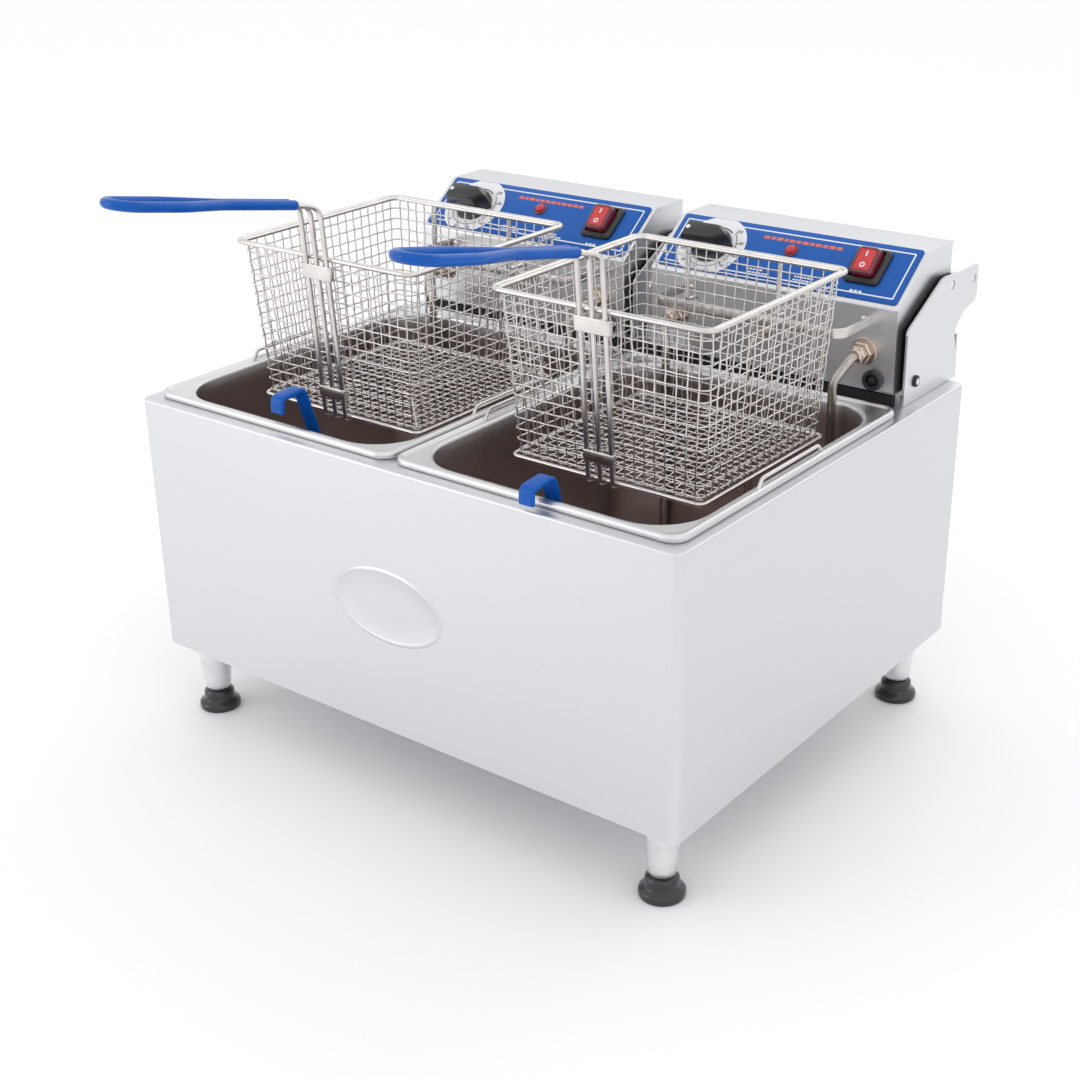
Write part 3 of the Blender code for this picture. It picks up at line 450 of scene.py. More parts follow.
def brushed_steel(name, colour, roughness):
    """Brushed sheet: fine lines along X on upright and level faces, with faint cloudy wear."""
    finish = Finish(name, 1.0)
    upright = finish.noise((BRUSH_LENGTH, BRUSH_LENGTH, GRAIN))
    level = finish.noise((BRUSH_LENGTH, GRAIN, BRUSH_LENGTH))
    steep = finish.maths("ABSOLUTE", finish.part(finish.coordinates["Normal"], "Z"))
    lines = finish.nodes.new("ShaderNodeMix")
    for number, value in ((0, steep.outputs[0]), (2, upright), (3, level)):
        finish.link(value, lines.inputs[number])
    wear = finish.maths("MULTIPLY_ADD", finish.noise((5, 5, 5), 4.0))
    wear.inputs[1].default_value = 0.35
    finish.link(lines.outputs[0], wear.inputs[2])
    finish.colour(wear.outputs[0], shaded(colour, 0.98), colour, WEAR_RANGE)
    finish.roughness(wear.outputs[0], roughness * 1.06, roughness * 0.95, WEAR_RANGE)
    finish.bump(lines.outputs[0], BRUSH_DEPTH)
    return finish.material


def plated_metal(name, colour, roughness, shade=0.85, scale=60.0):
    """Bright drawn or turned metal with a little mottling."""
    finish = Finish(name, 1.0)
    mottle = finish.noise((scale, scale, scale), 3.0)
    finish.colour(mottle, shaded(colour, shade), colour)
    finish.roughness(mottle, roughness * 1.3, roughness * 0.8)
    return finish.material


def moulded(name, colour, roughness, coat=0.0, grain=GRAIN, depth=0.00002, shade=0.85, specular=0.5):
    """Plastic, rubber, dipped vinyl or print with a fine grain."""
    finish = Finish(name)
    fine = finish.noise((grain, grain, grain))
    finish.colour(finish.noise((35, 35, 35), 3.0), shaded(colour, shade), colour)
    finish.roughness(fine, roughness * 0.85, roughness * 1.15)
    finish.shader["Coat Weight"].default_value = coat
    finish.shader["Coat Roughness"].default_value = 0.08
    finish.shader["Specular IOR Level"].default_value = specular
    finish.bump(fine, depth)
    return finish.material


def tank_steel():
    """Drawn steel, bright at its rim, with painted shade inside that makes it darker and browner below the
    deck.
    """
    finish = Finish("tank_steel", 1.0)
    height = finish.part(finish.coordinates["Object"], "Z")
    # Painted shade: below the deck the colour darkens and browns where the tank's polished inside lies in
    # shade.
    finish.colour(height, (0.6, 0.525, 0.505), (0.72, 0.72, 0.73), (DECK_Z - 0.012, DECK_Z + 0.003))
    finish.roughness(finish.noise((14, 14, 5), 3.0), 0.3, 0.38)
    return finish.material


CABINET = brushed_steel("cabinet_steel", (0.7, 0.71, 0.73), 0.36)
HEAD = brushed_steel("head_steel", (0.72, 0.728, 0.745), 0.36)
TANK = tank_steel()
CHROME = plated_metal("wire_chrome", (0.76, 0.725, 0.7), 0.2)
LEG = plated_metal("leg_metal", (0.86, 0.86, 0.87), 0.24)
ELEMENT = plated_metal("element_steel", (0.55, 0.5, 0.46), 0.24, 0.7, 45.0)
NICKEL = plated_metal("nickel_fitting", (0.7, 0.6, 0.52), 0.18)
BLUE = moulded("blue_vinyl", (0.001, 0.1, 0.47), 0.24, grain=500.0, depth=0.000004, specular=0.25)
PRINT_BLUE = moulded("label_blue", (0.01, 0.105, 0.43), 0.42, shade=0.94, specular=0.25, **PRINT)
PRINT_WHITE = moulded("label_white", (0.85, 0.86, 0.88), 0.35, 0.3, shade=0.96, **PRINT)
PRINT_RED = moulded("label_red", (0.78, 0.15, 0.06), 0.42, shade=0.94, **PRINT)
PRINT_BLACK = moulded("label_black", (0.015, 0.016, 0.018), 0.38, 0.3, **PRINT)
BLACK = moulded("black_plastic", (0.014, 0.015, 0.017), 0.3, 0.25)
FOOT_BLACK = moulded("foot_plastic", (0.012, 0.012, 0.013), 0.22, 0.4)
RUBBER = moulded("black_rubber", (0.012, 0.012, 0.013), 0.62)
RED = moulded("red_lens", (0.62, 0.012, 0.022), 0.14, 0.6, 700.0, 0.000004)
BOOT_RED = moulded("red_boot", (0.16, 0.006, 0.012), 0.2, 0.7, 500.0, 0.00001)
CERAMIC = moulded("ceramic_block", (0.75, 0.72, 0.64), 0.6)

# ---- cabinet


def cabinet_body():
    """The wrap-around sheet with a folded top edge, its deck openings and a plain raised oval."""

    def ring(inset, z):
        size = (CABINET_WIDTH - 2 * inset, CABINET_DEPTH - 2 * inset, CABINET_RADIUS - inset)
        return rounded_rect(*size, z, (0, MIDDLE_Y))

    outside = [ring(0, BASE_Z), ring(0, DECK_Z - FOLD_RADIUS)]
    outside += [ring(FOLD_RADIUS * run, DECK_Z - FOLD_RADIUS * (1 - rise)) for rise, run in quarter(5)]
    hollow = loft([ring(SHEET, BASE_Z - CUT), ring(SHEET, DECK_Z - SHEET)])
    openings = []
    for side in SIDES:
        low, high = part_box(f"{side}_tank")
        size = (high.x - low.x - 2 * DECK_LIP, high.y - low.y - 2 * DECK_LIP, TANK_CORNER + 0.003)
        openings.append(loft([
            rounded_rect(*size, z, (low + high) / 2, 10) for z in (DECK_Z - CUT, DECK_Z + CUT)
        ]))
    body = carve(loft(outside), [hollow, *openings])
    piece("cabinet_body", "root", [body, emboss()], [CABINET], ["cabinet_shell"], "cabinet_steel")


def emboss():
    """A plain oval pressed out of the front sheet, from (inset, depth) points in millimetres."""
    profile = [(0, 0.4), (0, 0), (0.8, -0.6), (1.8, -1), (2.8, -1), (3.8, -0.6), (4.6, -0.3), (20, -0.25)]
    half_width, half_height = EMBOSS_HALF
    front = MIDDLE_Y - CABINET_DEPTH / 2
    rings = []
    for inset, y in profile:
        width, height = half_width - inset * MM, half_height - inset * MM
        rings.append([
            (width * math.cos(angle), front + y * MM, EMBOSS_Z + height * math.sin(angle))
            for angle in np.arange(72) * math.pi / 36
        ])
    return loft(rings)


def legs_and_feet():
    """Turned tapered legs and flanged adjustable feet."""
    for name in ("front_left", "front_right", "rear_left", "rear_right"):
        low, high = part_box(f"{name}_leg")
        pad_low, pad_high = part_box(f"{name}_foot")
        x, y, _ = (low + high) / 2
        top = (high.x - low.x) / 2
        pad = (pad_high.x - pad_low.x) / 2
        foot = top * 0.69
        tier = pad * 0.735
        leg = lathe([
            (0, low.z + 0.012), (foot - 0.004, low.z + 0.012), (foot - 0.004, low.z + 0.0005),
            (foot - 0.0034, low.z), (foot - 0.0005, low.z), (foot, low.z + 0.0006),
            (foot + 0.001, low.z + 0.01), (top - 0.0004, high.z - 0.006), (top, high.z - 0.005),
            (top, high.z - 0.0006), (top - 0.0006, high.z), (0, high.z),
        ])
        seat = low.z - 0.0003
        shape = lathe([
            (0, 0), (pad - 0.0012, 0), (pad - 0.0003, 0.0004), (pad, 0.0014), (pad, 0.0048),
            (pad - 0.0004, 0.006), (pad - 0.0012, 0.0068), (tier + 0.0012, 0.009), (tier + 0.0002, 0.0098),
            (tier, 0.011), (tier, seat - 0.0046), (tier - 0.0004, seat - 0.0036),
            (tier - 0.0018, seat - 0.002), (tier - 0.004, seat - 0.0004), (0.0055, seat), (0.005, seat),
            (0.005, seat + 0.01), (0, seat + 0.01),
        ])
        piece(f"leg_{name}", "root", [shifted(leg, x, y)], [LEG], [f"{name}_leg"], "leg_metal")
        piece(f"foot_{name}", "root", [shifted(shape, x, y)], [FOOT_BLACK], [f"{name}_foot"],
              "black_plastic", sharp=50)


def tanks():
    """Drawn tanks: a rolled bead, a level flange and a soft mouth, with a bent wire on each side rim."""
    for side in SIDES:
        low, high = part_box(f"{side}_tank")
        width, depth = high.x - low.x, high.y - low.y
        top = DECK_Z + RIM_RISE
        bed = DECK_Z + 0.0003

        def ring(inset, z, corner):
            return rounded_rect(width - 2 * inset, depth - 2 * inset, corner, z, (low + high) / 2, 10)

        def mouth(inset, z, corner=TANK_CORNER):
            return ring(RIM_WIDTH + inset, z, corner)

        bead = (
            (0.0034, bed + 0.0014), (0.0026, bed), (0.0012, bed), (0.0003, bed + 0.0012), (0.0, bed + 0.003),
            (0.0004, top - 0.0018), (0.0013, top - 0.0007), (0.0026, top), (0.0038, top - 0.0002),
            (0.0047, top - 0.001), (0.0054, top - 0.0018), (0.0064, top - 0.0022),
        )
        outside = [
            mouth(TANK_TAPER + 0.02, low.z, TANK_CORNER - 0.016),
            mouth(TANK_TAPER + 0.004, low.z + 0.008),
            mouth(TANK_TAPER - SHEET, low.z + 0.024),
            mouth(0.002 - SHEET, DECK_Z - 0.01),
            mouth(-SHEET, DECK_Z - 0.001),
            mouth(-0.0016, bed + 0.002),
        ]
        outside += [ring(inset, z, RIM_CORNER - inset) for inset, z in bead]
        outside.append(ring(0.0085, top - 0.0023, RIM_CORNER + 0.004))
        inside = [mouth(-0.001, top - 0.0025)]
        inside += [mouth(-0.001 + 0.003 * rise, top - 0.0025 - 0.003 * run) for rise, run in quarter(5)]
        for z in (DECK_Z - 0.01, DECK_Z - 0.03, DECK_Z - 0.06, DECK_Z - 0.1, low.z + 0.024):
            inside.append(mouth(0.002 + 0.75 * TANK_TAPER * (top - z) / (top - low.z), z))
        for rise, run in quarter(6):
            z = low.z + SHEET + TANK_FILLET * (1 - rise)
            inside.append(mouth(TANK_TAPER + TANK_FILLET * run, z, TANK_CORNER - 0.016 * run))
        handles = [(*rim_wire(x, high.z), 1) for x in (low.x + 0.0048, high.x - 0.0048)]
        piece(f"tank_{side}", "root", [loft(outside + inside), *handles], [TANK, CHROME], [f"{side}_tank"],
              "tank_steel")


def rim_wire(x, crest):
    """A low bent-wire lifting handle over a tank's side rim."""
    radius = 0.0016
    high = crest - radius
    low = high - 0.0085
    back, front = MIDDLE_Y - 0.006, MIDDLE_Y - 0.104
    corners = [(x, front, low), (x, front + 0.006, high), (x, back - 0.006, high), (x, back, low)]
    return wire(bent(corners, 0.005, 6), radius)


# ---- hinges and heads


def head_x(side):
    """The middle of a head."""
    low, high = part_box(f"{side}_head_housing")
    return (low.x + high.x) / 2


def panel_matrix(side):
    """The sloped panel's frame, from the middle of its foot: X across, Y up the slope, Z out of it."""
    joint = JOINTS[f"{side}_knob_turn"]
    out = -Vector(joint["axis"])
    up = out.cross(Vector((1, 0, 0)))
    low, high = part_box(f"{side}_head_housing")
    knob = Vector(joint["pos_m"])
    foot = knob - up * ((knob.y - low.y) / up.y)
    foot.x = head_x(side)
    turn = Matrix((Vector((1, 0, 0)), up, out)).transposed().to_4x4()
    return Matrix.Translation(foot) @ turn


def on_panel(side, x, s, n=0.0, tilt=0.0):
    """A matrix for shapes that stand on the sloped panel."""
    return panel_matrix(side) @ Matrix.Translation((x, s, n)) @ Matrix.Rotation(tilt, 4, "X")


def panel_place(side, joint_name):
    """A joint's place in the panel's frame."""
    place = Vector(JOINTS[f"{side}_{joint_name}"]["pos_m"])
    return panel_matrix(side).inverted() @ place


def front_matrix(side, x, z):
    """A matrix for shapes whose Z points out of the head's front."""
    low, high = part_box(f"{side}_head_housing")
    return pointing((0, -1, 0), (head_x(side) + x, low.y, z))


def head_outline(side, inset=0.0):
    """The head's side outline in Y and Z, from the front foot round the back, with its sheet inset."""
    low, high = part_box(f"{side}_head_housing")
    panel = panel_matrix(side)
    foot = panel.translation
    up = panel.to_3x3() @ Vector((0, 1, 0))
    top_y = foot.y + up.y * (high.z - foot.z) / up.z
    corners = [(low.y, low.z), (high.y, low.z), (high.y, high.z), (top_y, high.z), (low.y, foot.z)]
    return inset_outline(corners, inset)


def inset_outline(corners, distance):
    """A convex counter-clockwise outline moved inwards."""
    corners = [Vector(corner) for corner in corners]
    moved = []
    for i, corner in enumerate(corners):
        before = (corner - corners[i - 1]).normalized()
        after = (corners[(i + 1) % len(corners)] - corner).normalized()
        normal = Vector((-before.y, before.x))
        bisector = (normal + Vector((-after.y, after.x))).normalized()
        moved.append(corner + bisector * (distance / bisector.dot(normal)))
    return moved


def rounded_outline(corners, radius):
    """An outline with its corners rounded."""
    return [(p.x, p.y) for p in bent([(u, v, 0) for u, v in corners], radius, 6, closed=True)]


def head_housing(side):
    """A folded wrap of sheet with two end panels let into it, each with a fine seam all round."""
    low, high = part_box(f"{side}_head_housing")
    half = (high.x - low.x) / 2
    centre = head_x(side)
    corners = head_outline(side, SHEET)
    for i in (1, 2):
        corners[i].x += 0.02
    body = carve(along_x(prism(rounded_outline(head_outline(side), HEAD_FOLD), -half, half)), [
        along_x(prism(rounded_outline(corners, HEAD_FOLD - SHEET), -half - CUT, half + CUT)),
        *panel_cutters(side),
    ])
    end_outline = rounded_outline(head_outline(side, SHEET + END_SEAM), HEAD_FOLD - SHEET)
    outside = half - 0.0006
    ends = []
    for start in (-outside, outside - SHEET):
        ends.append(shifted(along_x(prism(end_outline, start, start + SHEET)), centre))
    side_piece(side, "housing", "head", [shifted(body, centre), *ends], [HEAD], "head_housing", "head_steel",
               sharp=30)


def painted_shade_liners(side):
    """Thin black sheets on each end of the head, painted shade for the shaded gap where the standing plate
    runs close beside it.
    """
    low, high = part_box(f"{side}_head_housing")
    edge = [*SHADE_SHEET_EDGE, (SHADE_SHEET_EDGE[-1][0], low.z + SHADE_SHEET_FOOT), (SHADE_SHEET_EDGE[0][0], low.z + SHADE_SHEET_FOOT)]
    outline = [(MIDDLE_Y + y, z) for y, z in edge]
    shapes = []
    for x, sign in ((low.x, -1), (high.x, 1)):
        faces = sorted((x - sign * 0.0004, x + sign * SHADE_SHEET))
        shapes.append(along_x(prism(outline, *faces)))
    side_piece(side, "painted_shade_liners", "head", shapes, [RUBBER], slot="black_rubber")


def hole(radius):
    """A round cutter for a sheet at height 0."""
    return turned([(0, -6), (radius, -6), (radius, 6), (0, 6)], 24)


def switch_hole():
    """The switch's rectangular cutter."""
    return block((-0.0135, -0.016, -0.006), (0.0135, 0.016, 0.006))


def panel_cutters(side):
    """Cutters, about the head's middle, for the fittings that pass through the wrap."""
    knob = panel_place(side, "knob_turn")
    switch = panel_place(side, "rocker_tilt")
    cutters = [
        placed(hole(5), on_panel(side, knob.x, knob.y)),
        placed(hole(4.8), on_panel(side, LAMP_X, LAMP_S)),
        placed(switch_hole(), on_panel(side, switch.x, switch.y)),
        placed(hole(6.3), front_matrix(side, RESET_X, RESET_Z)),
    ]
    return [shifted(cutter, -head_x(side)) for cutter in cutters]


def faceplate(side):
    """The printed overlay: blue ground, white line border, dial disc, ticks, digits and plain bars."""
    knob = panel_place(side, "knob_turn")
    switch = panel_place(side, "rocker_tilt")
    centre = (0.0, LABEL_S)
    width, height = LABEL_SIZE
    plate = loft([
        rounded_rect(width, height, 0.003, 0.0003, centre, 5),
        rounded_rect(width, height, 0.003, 0.0008, centre, 5),
        rounded_rect(width - 0.0003, height - 0.0003, 0.0028, GROUND, centre, 5),
    ])
    holes = [
        shifted(hole(4.6), knob.x, knob.y),
        shifted(hole(4.6), LAMP_X, LAMP_S),
        shifted(switch_hole(), switch.x, switch.y),
    ]
    border, line = 0.0104, 0.0026
    outer = rounded_rect(width - border, height - border, 0.0012, GROUND, centre, 4)
    inner = rounded_rect(width - border - line, height - border - line, 0.0006, GROUND, centre, 4)
    layers = [carve(plate, holes), (*frame_layer(outer, inner, INK), 1)]
    layers += dial_layers(knob, centre)
    layers += printed_bars(switch)
    place = panel_matrix(side)
    side_piece(side, "overlay", "head", [placed(layer, place) for layer in layers],
               [PRINT_BLUE, PRINT_WHITE, PRINT_RED, PRINT_BLACK], "faceplate", "label_blue")


def frame_layer(outer, inner, height):
    """A flat closed band between two rings of equal point counts."""
    lift = np.array((0, 0, height))
    outer, inner = np.array(outer), np.array(inner)
    return loft([outer, outer + lift, inner + lift, inner], closed=True)


def arc(radius, start, end, steps, centre):
    """Points along an arc between two angles."""
    angles = [start + (end - start) * i / steps for i in range(steps + 1)]
    return [(centre[0] + radius * math.cos(a), centre[1] + radius * math.sin(a)) for a in angles]


def dial_layers(knob, centre):
    """A white disc, cut off at the label's edges, with a scale line, ticks and digits round the knob."""
    middle = (knob.x, knob.y)
    reach = LABEL_SIZE[1] / 2 - 0.0004
    disc = [
        (x, min(max(s, centre[1] - reach), centre[1] + reach))
        for x, s in arc(DIAL_RADIUS, 0, 2 * math.pi * 71 / 72, 71, middle)
    ]
    layers = [(*prism(disc, GROUND, GROUND + INK * 1.5), 1)]
    base = GROUND + INK * 1.5
    top = base + INK
    line = arc(0.0242, DIAL_START, DIAL_END, 60, middle) + arc(0.0236, DIAL_END, DIAL_START, 60, middle)
    layers.append((*prism(line, base, top), 3))
    for i in range(DIAL_TICKS):
        angle = DIAL_START + (DIAL_END - DIAL_START) * i / (DIAL_TICKS - 1)
        long_tick = i % 3 == 0
        end, width = (0.0264, 0.00045) if long_tick else (0.0253, 0.00022)
        layers.append((*radial_bar(middle, angle, 0.024, end, width, base, top), 3))
        if long_tick:
            number = str(i // 3 * 20 + 20)
            layers += [(*shape, 3) for shape in digits(number, middle, angle, 0.0285, base, top)]
    start, end = math.radians(52), math.radians(120)
    sweep_mark = arc(0.0225, start, end, 20, middle) + arc(0.0212, end, start, 20, middle)
    layers.append((*prism(sweep_mark, base, top), 3))
    return layers


def radial_bar(centre, angle, start, end, width, base, top):
    """A tick that points away from the dial's middle."""
    out = Vector((math.cos(angle), math.sin(angle)))
    across = Vector((-out.y, out.x)) * width
    ends = [(start, -1), (end, -1), (end, 1), (start, 1)]
    return prism([Vector(centre) + out * radius + across * sign for radius, sign in ends], base, top)


SEGMENTS = {"0": "abcdef", "1": "bc", "2": "abged", "4": "fgbc", "6": "afgedc", "8": "abcdefg"}


def digits(text, centre, angle, radius, base, top):
    """Dial numbers drawn with bars, each number upright about a place on the scale."""
    tall, wide, thick = 0.0026, 0.0014, 0.0002
    half = tall / 2
    bars = {
        "a": (0, tall, wide, tall), "b": (wide, half, wide, tall), "c": (wide, 0, wide, half),
        "d": (0, 0, wide, 0), "e": (0, 0, 0, half), "f": (0, half, 0, tall), "g": (0, half, wide, half),
    }
    shapes = []
    step = wide * 1.5
    foot = centre[1] + radius * math.sin(angle) - half
    left = centre[0] + radius * math.cos(angle) - step * len(text) / 2 + wide / 4
    for place, digit in enumerate(text):
        x = left + place * step
        for bar in SEGMENTS[digit]:
            x0, y0, x1, y1 = bars[bar]
            low = (x + x0 - thick, foot + y0 - thick, base)
            shapes.append(block(low, (x + x1 + thick, foot + y1 + thick, top)))
    return shapes


def printed_bar(x, s, width, height, ink):
    """A plain bar of print, in one of the overlay's inks."""
    return (*block((x, s, GROUND), (x + width, s + height, GROUND + INK)), ink)


def printed_bars(switch):
    """Plain bars where a fryer has its wording: a red heading, and small white notes at the foot."""
    layers = []
    heading = (5.8, 4.2, 6.1, 3.6, 5.3, 4.6, 6.4, 3.9, 5.7, 4.8, 6.0, 5.1)
    x = -0.031
    for width in heading:
        layers.append(printed_bar(x, 0.051, width * MM, 0.0033, 2))
        x += width * MM + 0.0016
    notes = ((-0.03, 0.0115, 0.02), (-0.03, 0.015, 0.014),
             (0.018, 0.0115, 0.024), (0.018, 0.015, 0.018))
    for start, s, length in notes:
        x = start
        while x < start + length:
            width = 0.0024 + 0.0011 * math.sin(x * 900)
            layers.append(printed_bar(x, s, width, 0.0015, 1))
            x += width + 0.0009
    for i in range(3):
        layers.append(printed_bar(switch.x - 0.006 + i * 0.0042, 0.0103, 0.003, 0.0022, 1))
    return layers


def thermostat_knob(side):
    """A tall bar knob with chamfered top, pointed at one end, a round skirt and a white pointer dot."""
    place = panel_place(side, "knob_turn")
    skirt = turned([(0, 1.4), (19, 1.4), (19.5, 1.8), (19.5, 2.8), (19, 3.4), (17.8, 4.4), (14, 5), (0, 5)])
    outline = [(-0.0235, -0.0092), (-0.0225, -0.01), (0.0135, -0.01), (0.0235, -0.001)]
    outline += [(x, -y) for x, y in reversed(outline)]
    chamfer = ((3.6, 1.0), (17.0, 0.97), (19.6, 0.94), (22.2, 0.8), (23.6, 0.72), (24.0, 0.66))
    bar = loft([
        [(x * (0.5 + shrink / 2), y * shrink, z * MM) for x, y in outline] for z, shrink in chamfer
    ])
    dot = shifted(turned([(0, 23.8), (2.2, 23.8), (2.2, 24.2), (1.9, 24.4), (0, 24.4)], 20), -0.017)
    matrix = on_panel(side, place.x, place.y)
    shapes = [placed(skirt, matrix), placed(bar, matrix), (*placed(dot, matrix), 1)]
    side_piece(side, "bar_knob", "knob", shapes, [BLACK, PRINT_WHITE], "thermostat_knob", "black_plastic",
               bevel=0.0006)


def switch_and_rocker(side):
    """A black bezel with its gasket, and the sealed rocker: a dark boot round a bright red face."""
    place = panel_place(side, "rocker_tilt")
    matrix = on_panel(side, place.x, place.y)
    bezel = stacked([
        (34, 38, 4.5, 0.9), (34, 38, 4.5, 3), (33, 37, 4.2, 4), (31.8, 35.8, 3.8, 4.4), (30, 34.5, 3.4, 5.8),
        (29, 33.5, 3, 6.2), (24.4, 30.6, 2, 6.2), (24, 30.2, 1.8, 5.6), (24, 30.2, 1.8, -2),
    ])
    body = stacked([(26.2, 31.2, 1, -22), (26.2, 31.2, 1, 1)])
    side_piece(side, "switch_bezel", "head", [placed(bezel, matrix), placed(body, matrix)], [BLACK],
               "switch_body", "black_plastic")
    boot = stacked([
        (21.5, 27, 3, -3), (22.2, 27.8, 3.4, 1), (21.6, 27.2, 4, 7.1), (20.8, 26.4, 4, 8.5),
        (19.6, 25.2, 3.6, 9.3), (18.2, 23.8, 3, 9.5), (16, 21.6, 2.2, 9.5), (15.6, 21.2, 2, 8.9),
    ])
    face = stacked([(15.8, 21.4, 2, 8.5), (15.6, 21.2, 2, 9.2), (15, 20.6, 1.8, 9.6)])
    high, mark = 0.0095, 0.00035
    stroke = block((-0.0007, 0.0035, high), (0.0007, 0.0082, high + mark))
    rings = [[(x, y, high) for x, y in arc(radius, 0, math.pi * 27 / 14, 27, (0, -0.0055))]
             for radius in (0.0025, 0.0014)]
    rocker = on_panel(side, place.x, place.y, place.z, ROCKER_REST)
    shapes = [boot, (*face, 1), (*stroke, 2), (*frame_layer(*rings, mark), 2)]
    side_piece(side, "sealed_rocker", "rocker", [placed(shape, rocker) for shape in shapes],
               [BOOT_RED, RED, PRINT_WHITE], "rocker", "red_lens")


def lamp_and_reset(side):
    """A domed pilot lamp in its bezel, and the overheat cut-out's collar and button."""
    angles = np.arange(1, 9) * math.pi / 18
    dome = turned([
        (0, -12), (4.2, -12), (4.2, 1), (4.6, 1.2), (4.8, 2.4),
        *[(4.8 * math.cos(angle), 2.4 + 4 * math.sin(angle)) for angle in angles], (0, 6.4),
    ])
    bezel = turned([(4.7, 1), (6.6, 1), (6.6, 1.8), (6, 2.5), (5, 2.6), (4.7, 2.2)])
    matrix = on_panel(side, LAMP_X, LAMP_S)
    side_piece(side, "pilot_lamp", "head", [placed(dome, matrix), (*placed(bezel, matrix), 1)],
               [RED, BOOT_RED], "indicator_lamp", "red_lens")
    front = front_matrix(side, RESET_X, RESET_Z)
    collar = turned([
        (0, -26), (9, -26), (9, -2), (6, -2), (6, 0.3), (9.2, 0.3), (9.4, 1), (9.4, 3), (9, 4), (8, 4.7),
        (6.4, 5), (5.4, 4.6), (5, 3.6), (5, -5), (0, -5),
    ])
    button = turned([(0, -2), (4.4, -2), (4.4, 2.2), (4.1, 3.2), (3, 4), (0, 4.2)])
    side_piece(side, "cutout_collar", "head", [placed(collar, front)], [BLACK], "high_limit_body",
               "black_plastic")
    side_piece(side, "cutout_button", "reset", [placed(button, front)], [RUBBER], "reset_button",
               "black_plastic")


def element_tube(front_y):
    """The element's one bent tube about the head's middle: in at a nut, down, to and fro, and back up."""
    drop_x, drop_y = ELEMENT_DROP
    spacing = 2 * drop_x / (ELEMENT_RUNS - 1)
    entry = [(NUT_X, front_y - MIDDLE_Y - 0.002, NUT_Z), (NUT_X, 0.1085, NUT_Z), (drop_x, drop_y, 0.342)]
    points = [*entry, (drop_x, drop_y, ELEMENT_Z)]
    for run in range(ELEMENT_RUNS):
        ends = [ELEMENT_FRONT_Y, ELEMENT_BACK_Y][::1 if run % 2 else -1]
        points += [(drop_x - run * spacing, end, ELEMENT_Z) for end in ends]
    points = points[:4] + points[5:-1] + [(-drop_x, drop_y, ELEMENT_Z)]
    points += [(-x, y, z) for x, y, z in reversed(entry)]
    radii = [0, 0.012, 0.018] + [spacing * 0.48] * (len(points) - 6) + [0.018, 0.012, 0]
    return wire(bent(points, radii, 7), ELEMENT_RADIUS, sides=16)


def element_and_probe(side):
    """The heating element with its nuts, and the thermostat's capillary and bulb."""
    x = head_x(side)
    front_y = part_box(f"{side}_head_housing")[0].y
    shapes = [shifted(element_tube(front_y), x, MIDDLE_Y)]
    fittings = [
        turned([(0, 0.2), (11.8, 0.2), (12.2, 0.6), (12.2, 1.4), (11.8, 1.8), (0, 1.8)]),
        turned([(0, 1.8), (9.8, 1.8), (10.2, 2.2), (10.2, 6.6), (9.4, 7.4), (0, 7.4)], 6),
        turned([(0, 7.4), (7.6, 7.4), (8, 7.8), (8, 13.2), (7.2, 14), (0, 14)], 6),
        turned([(0, 14), (6.2, 14), (6.2, 15.6), (5.2, 17), (5, 18.6), (0, 18.6)]),
    ]
    for nut_x in (-NUT_X, NUT_X):
        shapes += [(*placed(shape, front_matrix(side, nut_x, NUT_Z)), 1) for shape in fittings]
    side_piece(side, "element", "head", shapes, [ELEMENT, NICKEL], "heating_element", "element_steel",
               sharp=35)
    corners = [(0, 0.132, NUT_Z), (0, PROBE_Y, NUT_Z), (0, PROBE_Y, PROBE_Z), (0, 0.005, PROBE_Z)]
    probe = [
        wire(bent(corners, [0, 0.014, 0.014, 0]), 0.0016),
        wire([(0, 0.012, PROBE_Z), (0, -0.06, PROBE_Z)], 0.003, sides=16),
        wire([(0, 0.1312, NUT_Z), (0, 0.1245, NUT_Z)], 0.0052, sides=6),
    ]
    side_piece(side, "probe", "head", [shifted(shape, x, MIDDLE_Y) for shape in probe], [NICKEL],
               "thermostat_probe", "wire_chrome")


def hanger(side):
    """The flat strip that the basket hooks over, bent back to the head at each end."""
    low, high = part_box(f"{side}_hanger_bar")
    z = (low.z + high.z) / 2
    corners = [(low.x + 0.001, high.y, z), (low.x + 0.001, low.y + 0.001, z),
               (high.x - 0.001, low.y + 0.001, z), (high.x - 0.001, high.y, z)]
    section = bar_section(0.002, high.z - low.z, 0.0009)
    strip = sweep(bent(corners, 0.012, 8), section[:, ::-1], side=(0, 0, 1))
    tab = turned([(0, 0), (3.2, 0), (3.2, 1.2), (2.2, 2), (0, 2.2)], 20)
    places = [(x, high.y + 0.0003, z) for x in (low.x + 0.007, high.x - 0.007)]
    tabs = [placed(tab, pointing((0, -1, 0), place)) for place in places]
    side_piece(side, "hanger", "head", [strip, *tabs], [CHROME], "hanger_bar", "wire_chrome")


